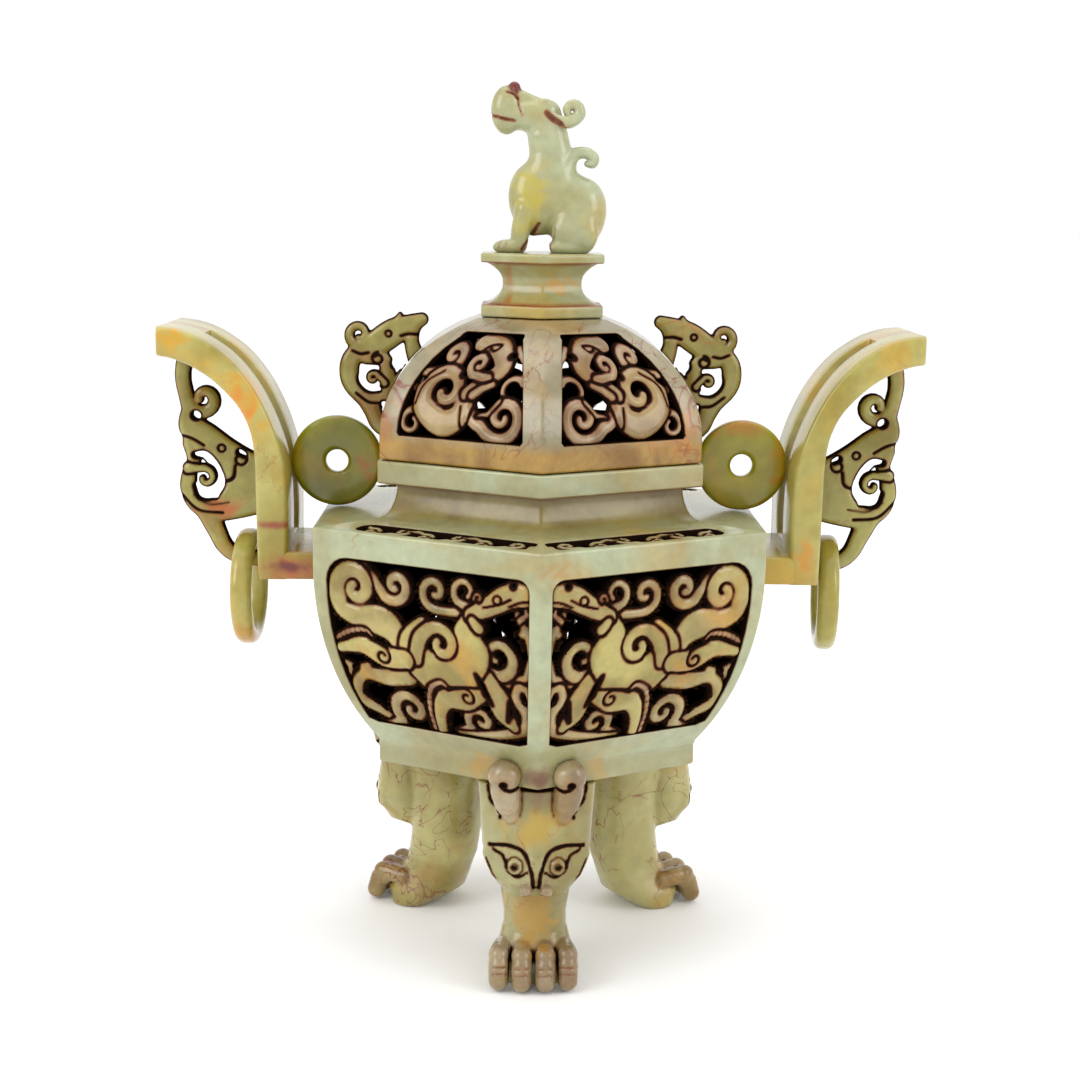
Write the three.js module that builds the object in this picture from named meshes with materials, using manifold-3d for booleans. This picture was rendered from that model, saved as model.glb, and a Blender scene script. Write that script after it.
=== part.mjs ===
// Hardstone censer: a six-sided lidded vessel on three beast-head legs, carved from pale green stone.
// Millimetres, +Z up, front leg toward -Y. The origin is on the ground under the middle of the vessel.
import * as THREE from 'three';
import { mergeVertices } from 'three/addons/utils/BufferGeometryUtils.js';
import Module from 'manifold-3d';

const wasm = await Module();
wasm.setup();

// Driving dimensions. A "half" is the distance from the axis to a flat side of the hexagon.
const LEG_HEIGHT = 61.5;
const TOUCH_GAP = 0.3;

const BODY_HALF = 66;
const BODY_SWEEP_HEIGHT = 80;
const BODY_SWEEP_RISE = 62.5;
const BODY_EDGE_HEIGHT = 10.8;
const WALL = 5.2;
const LEDGE_HALF = 47.5;
const LEDGE_HEIGHT = 5.5;
const FLOOR_THICKNESS = 8;
const SHOULDER_RISE = 1.2;
const NECK_HALF = 42.2;
const NECK_BORE_HALF = 37.4;
const NECK_HEIGHT = 10.3;
const RIM_HALF = 48;
const RIM_HEIGHT = 6.8;

const LEDGE_TOP_Z = LEG_HEIGHT + LEDGE_HEIGHT;
const FLOOR_Z = LEG_HEIGHT + FLOOR_THICKNESS;
const BODY_SWEEP_TOP_Z = LEG_HEIGHT + BODY_SWEEP_RISE;
const BODY_EDGE_Z = BODY_SWEEP_TOP_Z + BODY_EDGE_HEIGHT;
const NECK_FOOT_Z = BODY_EDGE_Z + SHOULDER_RISE;
const RIM_BOTTOM_Z = NECK_FOOT_Z + NECK_HEIGHT;
const RIM_TOP_Z = RIM_BOTTOM_Z + RIM_HEIGHT;

const LID_HALF = 47.4;
const LID_BAND_HEIGHT = 6.6;
const LID_LIP_DEPTH = 4.4;
const LID_LIP_CLEARANCE = 0.5;
const DOME_HEIGHT = 37.3;
const DOME_CUT_SHARE = 0.917;
const DOME_WALL = 3.8;
const LID_BOTTOM_Z = RIM_TOP_Z + TOUCH_GAP;
const DOME_SPRING_Z = LID_BOTTOM_Z + LID_BAND_HEIGHT;
const DOME_TOP_Z = DOME_SPRING_Z + DOME_HEIGHT * DOME_CUT_SHARE;

const STAND_BASE_HALF = 18.2;
const STAND_BASE_HEIGHT = 3.6;
const STAND_WAIST_HALF = 11.8;
const STAND_WAIST_HEIGHT = 12.4;
const STAND_PLATE_HALF = 18.4;
const STAND_PLATE_HEIGHT = 2.8;
const STAND_BOTTOM_Z = DOME_TOP_Z + TOUCH_GAP;
const STAND_PLATE_Z = STAND_BOTTOM_Z + STAND_BASE_HEIGHT + STAND_WAIST_HEIGHT;
const STAND_TOP_Z = STAND_PLATE_Z + STAND_PLATE_HEIGHT;

const STRAP_WIDTH = 44.2;
const STRAP_STAND_OFF = 9.2;
const STRAP_INNER_X = BODY_HALF + STRAP_STAND_OFF;
const GROOVE_WIDTH = 10.4;
const GROOVE_DEPTH = 4.4;
const BRACKET_DROP = 18.9;
const BRACKET_HEIGHT = 8.4;
const BRACKET_BOTTOM_Z = BODY_EDGE_Z - BRACKET_DROP;
const BRACKET_TOP_Z = BRACKET_BOTTOM_Z + BRACKET_HEIGHT;
const SCROLL_THICKNESS = 5.6;
const FIN_THICKNESS = 5;

// The disc stands beside the rim, with its outer edge in the groove of the strap.
const DISC_CLEARANCE = 0.4;
const DISC_SEAT = 1;
const DISC_RADIUS = (STRAP_INNER_X + DISC_SEAT - RIM_HALF - DISC_CLEARANCE) / 2;
const DISC_X = STRAP_INNER_X + DISC_SEAT - DISC_RADIUS;
const DISC_HOLE_RADIUS = 3.4;
const DISC_THICKNESS = 5.2;

const RING_RADIUS = 18;
const RING_SECTION_RADIUS = 2.8;
const RING_WIDTH = 6.6;
const RING_STAND_OFF = 14.7;
const RING_DROP = 6.5;
const RING_TURN_LEFT = -2;
const RING_TURN_RIGHT = -5;

const LEG_ANGLES = { leg_front: 270, leg_right: 30, leg_left: 150 };

const stone = (color, roughness) => new THREE.MeshStandardMaterial({ color, roughness, metalness: 0 });
const paleStone = stone(0xc9cbab, 0.3);
const bandedStone = stone(0xcdb98a, 0.32);
const oliveStone = stone(0xa79a45, 0.28);
const amberStone = stone(0xb5a660, 0.3);
const tanStone = stone(0xa8905c, 0.4);

const radians = THREE.MathUtils.degToRad;
const cornerOf = (half) => (half * 2) / Math.sqrt(3);

// Turns a closed three.js geometry into a solid that can be joined and cut, with its faces pointing out.
function solid(geometry) {
  const bare = geometry.clone();
  for (const name of Object.keys(bare.attributes)) {
    if (name !== 'position') bare.deleteAttribute(name);
  }
  const merged = mergeVertices(bare, 1e-4);
  const place = merged.attributes.position;
  const corner = [0, 1, 2].map(() => new THREE.Vector3());
  const kept = [];
  let volume = 0;
  for (let i = 0; i < merged.index.count; i += 3) {
    const ids = [0, 1, 2].map((k) => merged.index.getX(i + k));
    if (new Set(ids).size < 3) continue;
    ids.forEach((id, k) => corner[k].fromBufferAttribute(place, id));
    volume += corner[0].dot(corner[1].clone().cross(corner[2]));
    kept.push(ids);
  }
  const triangles = kept.flatMap(([a, b, c]) => (volume < 0 ? [a, c, b] : [a, b, c]));
  return new wasm.Manifold(new wasm.Mesh({
    numProp: 3,
    vertProperties: new Float32Array(place.array),
    triVerts: new Uint32Array(triangles),
  }));
}

const joined = (solids) => solids.reduce((whole, next) => whole.add(next));

// Flat neighbouring faces become one where the outline moves less than this.
const FACE_TOLERANCE = 0.01;

function meshOf(name, shape, material) {
  const { vertProperties, triVerts } = shape.asOriginal().simplify(FACE_TOLERANCE).getMesh();
  const geometry = new THREE.BufferGeometry();
  geometry.setAttribute('position', new THREE.BufferAttribute(vertProperties, 3));
  geometry.setIndex(new THREE.BufferAttribute(triVerts, 1));
  geometry.computeVertexNormals();
  const mesh = new THREE.Mesh(geometry, material);
  mesh.name = name;
  return mesh;
}

// A six-sided turning of [half, z] pairs that start and end on the axis, one corner toward the front.
function hexTurning(profile) {
  const points = profile.map(([half, z]) => new THREE.Vector2(cornerOf(half), z));
  return solid(new THREE.LatheGeometry(points, 6).rotateX(Math.PI / 2));
}

const steps = (count) => Array.from({ length: count + 1 }, (_, i) => i / count);

const bodyHalfAt = (z) => {
  const drop = Math.max(0, BODY_SWEEP_TOP_Z - z) / BODY_SWEEP_HEIGHT;
  return BODY_HALF * Math.sqrt(1 - drop * drop);
};

const domeHalfAt = (z, wall = 0) => {
  const rise = Math.max(0, z - DOME_SPRING_Z) / (DOME_HEIGHT - wall);
  return (LID_HALF - wall) * Math.sqrt(Math.max(0, 1 - rise * rise));
};

// Moves a solid as a three.js geometry.
function moved(shape, matrix) {
  const { vertProperties, triVerts } = shape.getMesh();
  const geometry = new THREE.BufferGeometry();
  geometry.setAttribute('position', new THREE.BufferAttribute(vertProperties, 3));
  geometry.setIndex(new THREE.BufferAttribute(triVerts, 1));
  return solid(geometry.applyMatrix4(matrix));
}

const turned = (shape, angle) => moved(shape, new THREE.Matrix4().makeRotationZ(radians(angle)));
const shifted = (shape, x, z) => moved(shape, new THREE.Matrix4().makeTranslation(x, 0, z));

// The frame of a vertical plane whose outward direction has the given angle: along, up and outward.
function uprightFrame(angle) {
  const outward = new THREE.Vector3(Math.cos(radians(angle)), Math.sin(radians(angle)), 0);
  const along = new THREE.Vector3(-outward.y, outward.x, 0);
  return new THREE.Matrix4().makeBasis(along, new THREE.Vector3(0, 0, 1), outward);
}

// A bar of changing width along a smooth line in an upright plane. Points are [along, z, width].
function uprightBand(points, angle, from, depth, samples) {
  const line = new THREE.SplineCurve(points.map(([x, y]) => new THREE.Vector2(x, y)));
  const geometry = new THREE.BoxGeometry(1, 1, 1, samples, 1, 1);
  const place = geometry.attributes.position;
  for (let i = 0; i < place.count; i += 1) {
    const t = place.getX(i) + 0.5;
    const slot = Math.min(t * (points.length - 1), points.length - 1.001);
    const low = Math.floor(slot);
    const width = THREE.MathUtils.lerp(points[low][2], points[low + 1][2], slot - low);
    const middle = line.getPoint(t);
    const along = line.getTangent(t);
    const side = place.getY(i) * width;
    place.setXYZ(i, middle.x - along.y * side, middle.y + along.x * side, from + (place.getZ(i) + 0.5) * depth);
  }
  return solid(geometry.applyMatrix4(uprightFrame(angle)));
}

// Extrudes an outline drawn in a vertical plane. The outward direction of the plane has the given angle.
function uprightPlate(shape, angle, from, depth, curveSegments = 8) {
  const geometry = new THREE.ExtrudeGeometry(shape, { depth, bevelEnabled: false, curveSegments, steps: 1 });
  return geometry.translate(0, 0, from).applyMatrix4(uprightFrame(angle));
}

// A drawing of bands [u, z, width] is made for one size of panel, and is stretched to the panel's own size.
function stretched(bands, drawn, half, bottom, top) {
  const across = half / drawn.half;
  const up = (top - bottom) / (drawn.top - drawn.bottom);
  return bands.map((points) => points.map(([u, z, width]) => {
    return [u * across, bottom + (z - drawn.bottom) * up, width * across];
  }));
}

// The scrolls of a large vessel panel: u runs along the face toward the arris, then z and width. The back
// panels have only the large ones.
const BODY_DRAWN = { half: 66, bottom: 75, top: 127.2 };
const BODY_LARGE_SCROLLS = [
  [[-25, 118, 2.4], [-23, 114.8, 3], [-19.6, 118, 3.4], [-22, 124, 4], [-28, 124.2, 4.6], [-31.6, 118, 5],
    [-29, 111.6, 6], [-22, 109, 8], [-14, 108.4, 10], [-9.5, 102, 8]],
  [[16, 116.4, 6], [12.6, 110, 9], [15, 104, 11], [9, 97, 13], [0, 95.4, 13], [-9, 103, 8]],
  [[18, 97, 8], [22, 90, 7], [17, 83.6, 4], [11, 83.4, 3], [9.6, 79, 3.4], [15, 75.6, 3.6], [24, 78.6, 4],
    [27.4, 84.6, 4], [26, 92, 3.6], [30.6, 95, 3]],
  [[10, 92, 9], [2, 91, 6], [-1.6, 84, 5], [-2.6, 74, 4.4]],
  [[-9.6, 81, 2.6], [-7.6, 85, 3.4], [-13, 86.4, 4], [-16, 81, 4.2], [-12, 76, 4], [-4, 75.6, 3]],
  [[-8, 96.6, 9], [-16, 91, 7], [-24, 89, 6], [-28.6, 85, 4.4], [-26.4, 80, 4], [-18, 79.6, 3.6]],
  [[-10.6, 100, 8], [-17, 98.6, 8], [-24, 101.4, 6.6], [-34, 100.4, 4]],
];
const BODY_FINE_SCROLLS = [
  [[-13, 121.4, 2.6], [-12, 125, 3], [-8, 125, 3.6], [-6, 120.5, 4], [-9, 116, 4.2], [-15, 117, 3.6],
    [-20, 123, 3]],
  [[4.6, 120.2, 2.4], [6.4, 123, 2.8], [2, 126, 3.4], [-2.4, 121.6, 4.2], [-0.6, 116, 4.4], [6, 114, 3.8],
    [15, 116.6, 3.4]],
  [[14.6, 123.6, 2], [11.4, 125.6, 2.6], [9, 121.6, 3], [15, 116.6, 3.4]],
  [[14.6, 115, 5], [20, 118.4, 6], [26, 121.8, 7.4], [35, 122.6, 6.4]],
  [[4.8, 104, 2.6], [7.6, 107, 3.2], [3, 110.6, 4.4], [-2.6, 106.6, 6], [-3, 98, 8]],
  [[23, 107.6, 2.4], [28, 106.4, 3], [28.2, 100, 4.4], [21, 96.6, 6], [12, 98, 8]],
];
const FRONT_DETAIL = 0.7;
const BACK_DETAIL = 0.5;

const LID_DETAIL = 0.6;
const LID_DRAWN = { half: 47.4, bottom: 160.6, top: 190.8 };
const LID_LARGE_SCROLLS = [
  [[1, 172, 6], [3.4, 165.4, 4.6], [9.6, 161.8, 4], [16.6, 164.4, 4], [17.4, 171, 3.6], [11.6, 171.8, 3],
    [12.4, 166.6, 2.4]],
  [[-8, 174.4, 2.4], [-5, 173.4, 2.8], [-3.6, 177.4, 3.6], [-9, 179, 4.2], [-14, 175, 5], [-10, 169, 7],
    [-5, 164.6, 8], [-1.6, 169, 8], [2.4, 172.6, 6]],
  [[-3, 179.6, 6], [2, 183.6, 9], [8, 184.4, 8], [6.4, 178.4, 6], [0.4, 175.4, 5]],
  [[5, 187, 5], [4, 193, 6]],
];
const LID_FINE_SCROLLS = [
  [[-16.4, 164.4, 2], [-17.4, 161.6, 2.6], [-20.8, 163.6, 3], [-18.6, 168.4, 3], [-12, 167.4, 4]],
  [[-9.4, 184.4, 2.4], [-7.6, 181.6, 3], [-12.4, 181.4, 3.6], [-12.8, 187, 3.8], [-6.4, 186.4, 3.8],
    [-4, 180, 4.2], [-3.6, 175.6, 4]],
  [[-13, 178, 4], [-22, 175, 3.4]],
];

// Cuts a panel through one face and leaves its scrolls standing. hand is 1 or -1, from the way u runs.
function panelCutter(angle, hand, outline, scrolls, from, depth, samples) {
  const flip = ([x, ...rest]) => [x * hand, ...rest];
  const opening = new THREE.Shape(outline.map(flip).map(([x, z]) => new THREE.Vector2(x, z)));
  const bands = scrolls.map((points) => {
    const count = Math.max(2, Math.round(points.length * samples));
    return uprightBand(points.map(flip), angle, from - 1, depth + 2, count);
  });
  return solid(uprightPlate(opening, angle, from, depth)).subtract(joined(bands));
}

const PANEL_BOTTOM_Z = LEDGE_TOP_Z + 8;
const PANEL_TOP_Z = BODY_EDGE_Z - 7.6;
const PANEL_POST = 3.6;
const PANEL_FRAME = 4;
const PANEL_OUTER_ROUND = 7;
const PANEL_ARRIS_ROUND = 4;

function bodyPanelOutline() {
  const edge = (z) => bodyHalfAt(z) / Math.sqrt(3);
  const left = steps(3).map((t) => THREE.MathUtils.lerp(PANEL_BOTTOM_Z, PANEL_TOP_Z - PANEL_OUTER_ROUND, t));
  const right = steps(3).map((t) => THREE.MathUtils.lerp(PANEL_TOP_Z - PANEL_ARRIS_ROUND, PANEL_BOTTOM_Z, t));
  const arc = (x, radius, start) => steps(3).map((t) => {
    const turn = radians(start - 90 * t);
    return [x + radius * Math.cos(turn), PANEL_TOP_Z - radius + radius * Math.sin(turn)];
  });
  const leftX = -edge(PANEL_TOP_Z) + PANEL_FRAME;
  const rightX = edge(PANEL_TOP_Z) - PANEL_POST;
  return [
    ...left.map((z) => [-edge(z) + PANEL_FRAME, z]),
    ...arc(leftX + PANEL_OUTER_ROUND, PANEL_OUTER_ROUND, 180).slice(1),
    ...arc(rightX - PANEL_ARRIS_ROUND, PANEL_ARRIS_ROUND, 90).slice(0, -1),
    ...right.map((z) => [edge(z) - PANEL_POST, z]),
  ];
}

const LID_PANEL_BOTTOM_Z = DOME_SPRING_Z + 0.6;
const LID_PANEL_TOP_Z = DOME_TOP_Z - 3.4;
const LID_RIB = 5.8;
const LID_POST = 6;

function lidPanelOutline() {
  const edge = (z) => domeHalfAt(z) / Math.sqrt(3);
  const levels = steps(3).map((t) => THREE.MathUtils.lerp(LID_PANEL_BOTTOM_Z, LID_PANEL_TOP_Z, t));
  const left = levels.map((z) => [-edge(z) + LID_RIB, z]);
  const right = levels.map((z) => [edge(z) - LID_POST, z]).reverse();
  const chamfer = 3;
  const first = left.shift();
  left.unshift([first[0] + chamfer, LID_PANEL_BOTTOM_Z], [first[0], LID_PANEL_BOTTOM_Z + chamfer]);
  return [...left, ...right];
}

const FRONT_FACES = [[240, 1], [300, -1]];
const BACK_FACES = [[120, -1], [60, 1]];

function panelCutters(outline, large, fine, from, depth, detail) {
  return [
    ...FRONT_FACES.map(([angle, hand]) => {
      return panelCutter(angle, hand, outline, [...large, ...fine], from, depth, detail);
    }),
    ...BACK_FACES.map(([angle, hand]) => panelCutter(angle, hand, outline, large, from, depth, BACK_DETAIL)),
  ];
}

function buildBody() {
  const sweepLevels = steps(3).map((t) => THREE.MathUtils.lerp(LEDGE_TOP_Z, BODY_SWEEP_TOP_Z, t ** 1.45));
  const cove = steps(3).map((t) => {
    const turn = (Math.PI / 2) * (1 - t);
    const reach = LEDGE_HALF - NECK_HALF;
    return [LEDGE_HALF - reach * Math.cos(turn), RIM_BOTTOM_Z - NECK_HEIGHT * Math.sin(turn)];
  });
  const outer = hexTurning([
    [0, LEG_HEIGHT], [LEDGE_HALF, LEG_HEIGHT], [LEDGE_HALF, LEDGE_TOP_Z],
    ...sweepLevels.map((z) => [bodyHalfAt(z), z]),
    [BODY_HALF, BODY_EDGE_Z], ...cove,
    [RIM_HALF, RIM_BOTTOM_Z], [RIM_HALF, RIM_TOP_Z], [0, RIM_TOP_Z],
  ]);
  const floorFillet = 3;
  const hollowSide = steps(2).map((t) => {
    const z = THREE.MathUtils.lerp(FLOOR_Z + floorFillet, BODY_SWEEP_TOP_Z, t ** 1.4);
    return [bodyHalfAt(z) - WALL, z];
  });
  const hollow = hexTurning([
    [0, FLOOR_Z], [hollowSide[0][0] - floorFillet, FLOOR_Z], ...hollowSide,
    [BODY_HALF - WALL, BODY_EDGE_Z - WALL],
    [NECK_BORE_HALF, NECK_FOOT_Z - WALL], [NECK_BORE_HALF, RIM_TOP_Z + WALL], [0, RIM_TOP_Z + WALL],
  ]);
  const panel = [BODY_DRAWN, BODY_HALF, PANEL_BOTTOM_Z, PANEL_TOP_Z];
  const from = bodyHalfAt(PANEL_BOTTOM_Z) - 2 * WALL;
  const cutters = panelCutters(
    bodyPanelOutline(), stretched(BODY_LARGE_SCROLLS, ...panel), stretched(BODY_FINE_SCROLLS, ...panel),
    from, BODY_HALF + WALL - from, FRONT_DETAIL,
  );
  return outer.subtract(hollow).subtract(joined(cutters));
}

function buildLid() {
  const levels = (shares, wall) => shares.map((t) => {
    const z = THREE.MathUtils.lerp(DOME_SPRING_Z, DOME_TOP_Z - wall, t);
    return [domeHalfAt(z, wall), z];
  });
  const lipHalf = NECK_BORE_HALF - LID_LIP_CLEARANCE;
  const outer = hexTurning([
    [0, LID_BOTTOM_Z - LID_LIP_DEPTH], [lipHalf, LID_BOTTOM_Z - LID_LIP_DEPTH], [lipHalf, LID_BOTTOM_Z],
    [LID_HALF, LID_BOTTOM_Z], ...levels([0, 0.36, 0.72, 1], 0), [0, DOME_TOP_Z],
  ]);
  const hollow = hexTurning([
    [0, LID_BOTTOM_Z - LID_LIP_DEPTH - DOME_WALL],
    [lipHalf - DOME_WALL, LID_BOTTOM_Z - LID_LIP_DEPTH - DOME_WALL],
    [lipHalf - DOME_WALL, LID_BOTTOM_Z], ...levels([0, 0.6, 1], DOME_WALL), [0, DOME_TOP_Z - DOME_WALL],
  ]);
  const panel = [LID_DRAWN, LID_HALF, LID_PANEL_BOTTOM_Z, LID_PANEL_TOP_Z];
  const from = domeHalfAt(LID_PANEL_TOP_Z) - 2 * DOME_WALL;
  const cutters = panelCutters(
    lidPanelOutline(), stretched(LID_LARGE_SCROLLS, ...panel), stretched(LID_FINE_SCROLLS, ...panel),
    from, LID_HALF + DOME_WALL - from, LID_DETAIL,
  );
  return outer.subtract(hollow).subtract(joined(cutters));
}

// An ellipsoid for the rounded forms of the beasts.
function ball(x, y, z, rx, ry, rz, around = 6, up = 4) {
  const geometry = new THREE.SphereGeometry(1, around, up).rotateX(Math.PI / 2);
  return solid(geometry.scale(rx, ry, rz).translate(x, y, z));
}

// A column of rounded sections, each [z, back x, front x, half width], standing on the last one's level.
function column(sections, around) {
  const rows = sections.map(([z]) => new THREE.Vector2(1, z));
  const first = new THREE.Vector2(0, sections[0][0]);
  const last = new THREE.Vector2(0, sections[sections.length - 1][0]);
  const geometry = new THREE.LatheGeometry([first, ...rows, last], around).rotateX(Math.PI / 2);
  const place = geometry.attributes.position;
  for (let i = 0; i < place.count; i += 1) {
    const row = sections.find(([z]) => Math.abs(z - place.getZ(i)) < 1e-3);
    const [, back, front, half] = row;
    const square = (value) => Math.sign(value) * Math.abs(value) ** 0.75;
    place.setX(i, (back + front) / 2 + (square(place.getX(i)) * (front - back)) / 2);
    place.setY(i, square(place.getY(i)) * half);
  }
  return solid(geometry);
}

const PAW_TOE_Y = [-10.2, -3.5, 3.5, 10.2];
const HORN_Y = 10.2;
const HORN_Z = 64.6;

// The leg is drawn with its top at this height and the corner of the vessel's foot at this distance.
const LEG_DRAWN = { height: 61.2, corner: 54.85 };

// A leg in its own frame: +X points away from the axis of the vessel.
function buildLeg(keepOut) {
  const shaft = column([
    [0, 36, 52, 9], [5, 28, 54, 11], [12, 25, 53, 9.6], [19, 23.4, 45, 8.6],
    [30, 22, 43, 10.2], [LEG_DRAWN.height, 19, 44, 16.6],
  ], 7);
  const head = column([
    [31.6, 38, 52, 6], [35, 36, 55, 10], [42, 36, 54.6, 14], [LEG_DRAWN.height, 36, 53.4, 17.6],
  ], 7);
  const toes = PAW_TOE_Y.map((y) => {
    const outer = Math.abs(y) > 5;
    return ball(outer ? 48.6 : 50, y, outer ? 6.4 : 7, outer ? 8 : 8.2, 3.7, outer ? 6.6 : 7.2, 5, 3);
  });
  const horns = [-1, 1].flatMap((hand) => [
    ball(51.4, hand * HORN_Y, HORN_Z, 3.8, 4.9, 5.4, 6, 3),
    ball(51.6, hand * (HORN_Y - 0.6), 57, 3.4, 3.6, 5.6, 5, 3),
  ]);
  const face = [-1, 1].flatMap((hand) => [
    ball(52.6, hand * 6.2, 40.4, 2.8, 3.6, 3, 5, 3),
    ball(54.2, hand * 2.5, 33.6, 2.2, 2.3, 2.3, 5, 3),
  ]);
  const floor = solid(new THREE.BoxGeometry(120, 60, 10).translate(40, 0, -5));
  const form = joined([shaft, head, ...toes, ...horns, ...face]).subtract(floor);
  const fitted = new THREE.Matrix4().makeTranslation(cornerOf(LEDGE_HALF) - LEG_DRAWN.corner, 0, 0);
  fitted.scale(new THREE.Vector3(1, 1, (LEG_HEIGHT - TOUCH_GAP) / LEG_DRAWN.height));
  return moved(form, fitted).subtract(keepOut);
}

// The vessel's foot with the touching gap added, in a leg's frame, where a corner lies on +X.
function footKeepOut() {
  const grown = TOUCH_GAP * 1.2;
  const reach = 10;
  const wall = [0, reach / 2, reach].map((rise) => {
    const z = LEDGE_TOP_Z + TOUCH_GAP + rise;
    return [bodyHalfAt(z) + grown, z];
  });
  const profile = [
    [0, LEG_HEIGHT - TOUCH_GAP], [LEDGE_HALF + grown, LEG_HEIGHT - TOUCH_GAP],
    [LEDGE_HALF + grown, LEDGE_TOP_Z + TOUCH_GAP], ...wall, [0, LEDGE_TOP_Z + TOUCH_GAP + reach],
  ];
  return turned(hexTurning(profile), 30);
}

// The two faces of the strap, as [x, z] from the foot of its inner face.
const STRAP_INNER = [[0, 22.1], [0.6, 33.1], [2.6, 41.7], [5.8, 50.1], [10.4, 58.5], [16.8, 66.1], [24.8, 71.7],
  [31.8, 74.3], [38, 75.1]];
const STRAP_OUTER = [[38, 66.5], [31.2, 64.9], [27.2, 63.1], [21.2, 59.1], [14.8, 52.5], [11.2, 45.5],
  [9.8, 37.7], [9.5, 26.1], [9.1, 0]];
const GROOVE_START = 4;
const GROOVE_END = [26.2, 75.1];
const onStrap = (line) => line.map(([x, z]) => [STRAP_INNER_X + x, BRACKET_BOTTOM_Z + z]);

// The handle's strap and bracket, drawn on the right side and mirrored by hand for the left.
function buildHandle(hand) {
  const flip = ([x, z]) => new THREE.Vector2(x * hand, z);
  const strap = new THREE.Shape([
    [BODY_HALF + TOUCH_GAP, BRACKET_BOTTOM_Z], [BODY_HALF + TOUCH_GAP, BRACKET_TOP_Z],
    [STRAP_INNER_X, BRACKET_TOP_Z], ...onStrap([...STRAP_INNER, ...STRAP_OUTER]),
  ].map(flip));
  const grooved = onStrap(STRAP_INNER.slice(0, -2)).map(([x, z]) => new THREE.Vector2(x, z));
  const curve = new THREE.SplineCurve(grooved);
  const bed = steps(8).map((t) => {
    const place = curve.getPoint(t);
    const along = curve.getTangent(t);
    return [place.x + along.y * GROOVE_DEPTH, place.y - along.x * GROOVE_DEPTH];
  });
  const [[endX, endZ]] = onStrap([GROOVE_END]);
  const clear = 5;
  const groove = new THREE.Shape([
    [STRAP_INNER_X - clear, BRACKET_TOP_Z + GROOVE_START], [STRAP_INNER_X - clear, endZ + clear],
    [endX, endZ + clear], [endX, endZ], ...bed.reverse(),
    [STRAP_INNER_X + GROOVE_DEPTH, BRACKET_TOP_Z + GROOVE_START],
  ].map(flip));
  const plate = (shape, width) => solid(uprightPlate(shape, 270, -width / 2, width));
  return plate(strap, STRAP_WIDTH).subtract(plate(groove, GROOVE_WIDTH));
}

// The openwork dragon scroll outside each handle, as bands of [x, z, width], drawn for a strap that has its
// inner foot here.
const SCROLL_DRAWN = { x: 75.2, z: 115.9 };
const SCROLL_BANDS = [
  [[107.2, 182, 5], [108.3, 175, 4.4], [107.8, 169, 4.4], [105, 164.6, 4], [101, 165, 3.2], [99.4, 168.4, 2.8]],
  [[106.8, 166, 4], [105.6, 159.6, 8.6], [100.4, 154.6, 9.6], [94.4, 149, 9.6], [85, 143, 10]],
  [[106, 153, 4.4], [104.6, 149.6, 3.6], [107, 145.6, 4.4], [107.6, 141, 4.6]],
  [[107.4, 143, 4.6], [107, 137.4, 5], [102, 133.4, 6.4], [94.6, 134.4, 7.6], [83, 140, 12]],
  [[103, 133, 5], [99, 129.4, 5], [93, 131.6, 5], [83, 136.6, 5]],
  [[99.4, 131, 5], [98.4, 125, 5.2], [95.6, 119.8, 5], [90, 118.6, 4.6], [83, 118.4, 4.6]],
];

const CREST_DETAIL = 0.8;
const crestBands = (bands, hand, thickness) => bands.map((points) => {
  const placed = points.map(([x, z, width]) => [x * hand, z, width]);
  return uprightBand(placed, 270, -thickness / 2, thickness, Math.round(points.length * CREST_DETAIL));
});

function buildScroll(hand, keepOut) {
  const form = joined(crestBands(SCROLL_BANDS, hand, SCROLL_THICKNESS));
  const x = (STRAP_INNER_X - SCROLL_DRAWN.x) * hand;
  return shifted(form, x, BRACKET_BOTTOM_Z - SCROLL_DRAWN.z).subtract(keepOut);
}

// The strap's outer face moved out by the touching gap, for cutting what is pinned to it.
function strapKeepOut(hand) {
  const face = onStrap(STRAP_OUTER);
  const away = face.map(([x, z], i) => {
    const [ax, az] = face[Math.max(0, i - 1)];
    const [bx, bz] = face[Math.min(face.length - 1, i + 1)];
    const length = Math.hypot(bx - ax, bz - az);
    return [x + ((az - bz) / length) * TOUCH_GAP * 1.3, z + ((bx - ax) / length) * TOUCH_GAP * 1.3];
  });
  const [tipX, tipZ] = face[0];
  const clear = 20;
  const outline = [
    ...away, [face[face.length - 1][0] + TOUCH_GAP, BRACKET_BOTTOM_Z - clear],
    [BODY_HALF, BRACKET_BOTTOM_Z - clear], [BODY_HALF, tipZ + clear], [tipX + clear, tipZ + clear],
    [tipX + clear, tipZ - TOUCH_GAP],
  ];
  const shape = new THREE.Shape(outline.map(([x, z]) => new THREE.Vector2(x * hand, z)));
  return solid(uprightPlate(shape, 270, -STRAP_WIDTH / 2, STRAP_WIDTH));
}

// The crest on the side of the dome, as bands of [x, z, width], drawn for a dome of this size.
const FIN_DRAWN = { half: 47.4, bottom: 160, top: 194.2 };
const FIN_BANDS = [
  [[52.2, 189.2, 1.8], [54.4, 191, 2.6], [57, 188.4, 3.4], [55.4, 184.6, 4.4], [50, 184.6, 6]],
  [[51, 183.6, 7], [46.4, 188, 8], [41.4, 190.8, 6], [37, 192.2, 4.6]],
  [[37.6, 192, 4], [38, 186.4, 5], [35, 180, 6]],
  [[42.6, 190.6, 4], [41.6, 194.6, 2]],
  [[52.4, 186, 6], [56.6, 180.6, 6], [57.4, 174.6, 5.6], [53, 170.4, 5], [47, 170.6, 5], [41, 177, 6]],
  [[54, 182, 5], [48.4, 181.4, 4], [46, 177.6, 4], [46.4, 172, 4]],
  [[53.6, 170.6, 5], [50.6, 165.6, 4.4], [46, 161, 5]],
];

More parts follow.
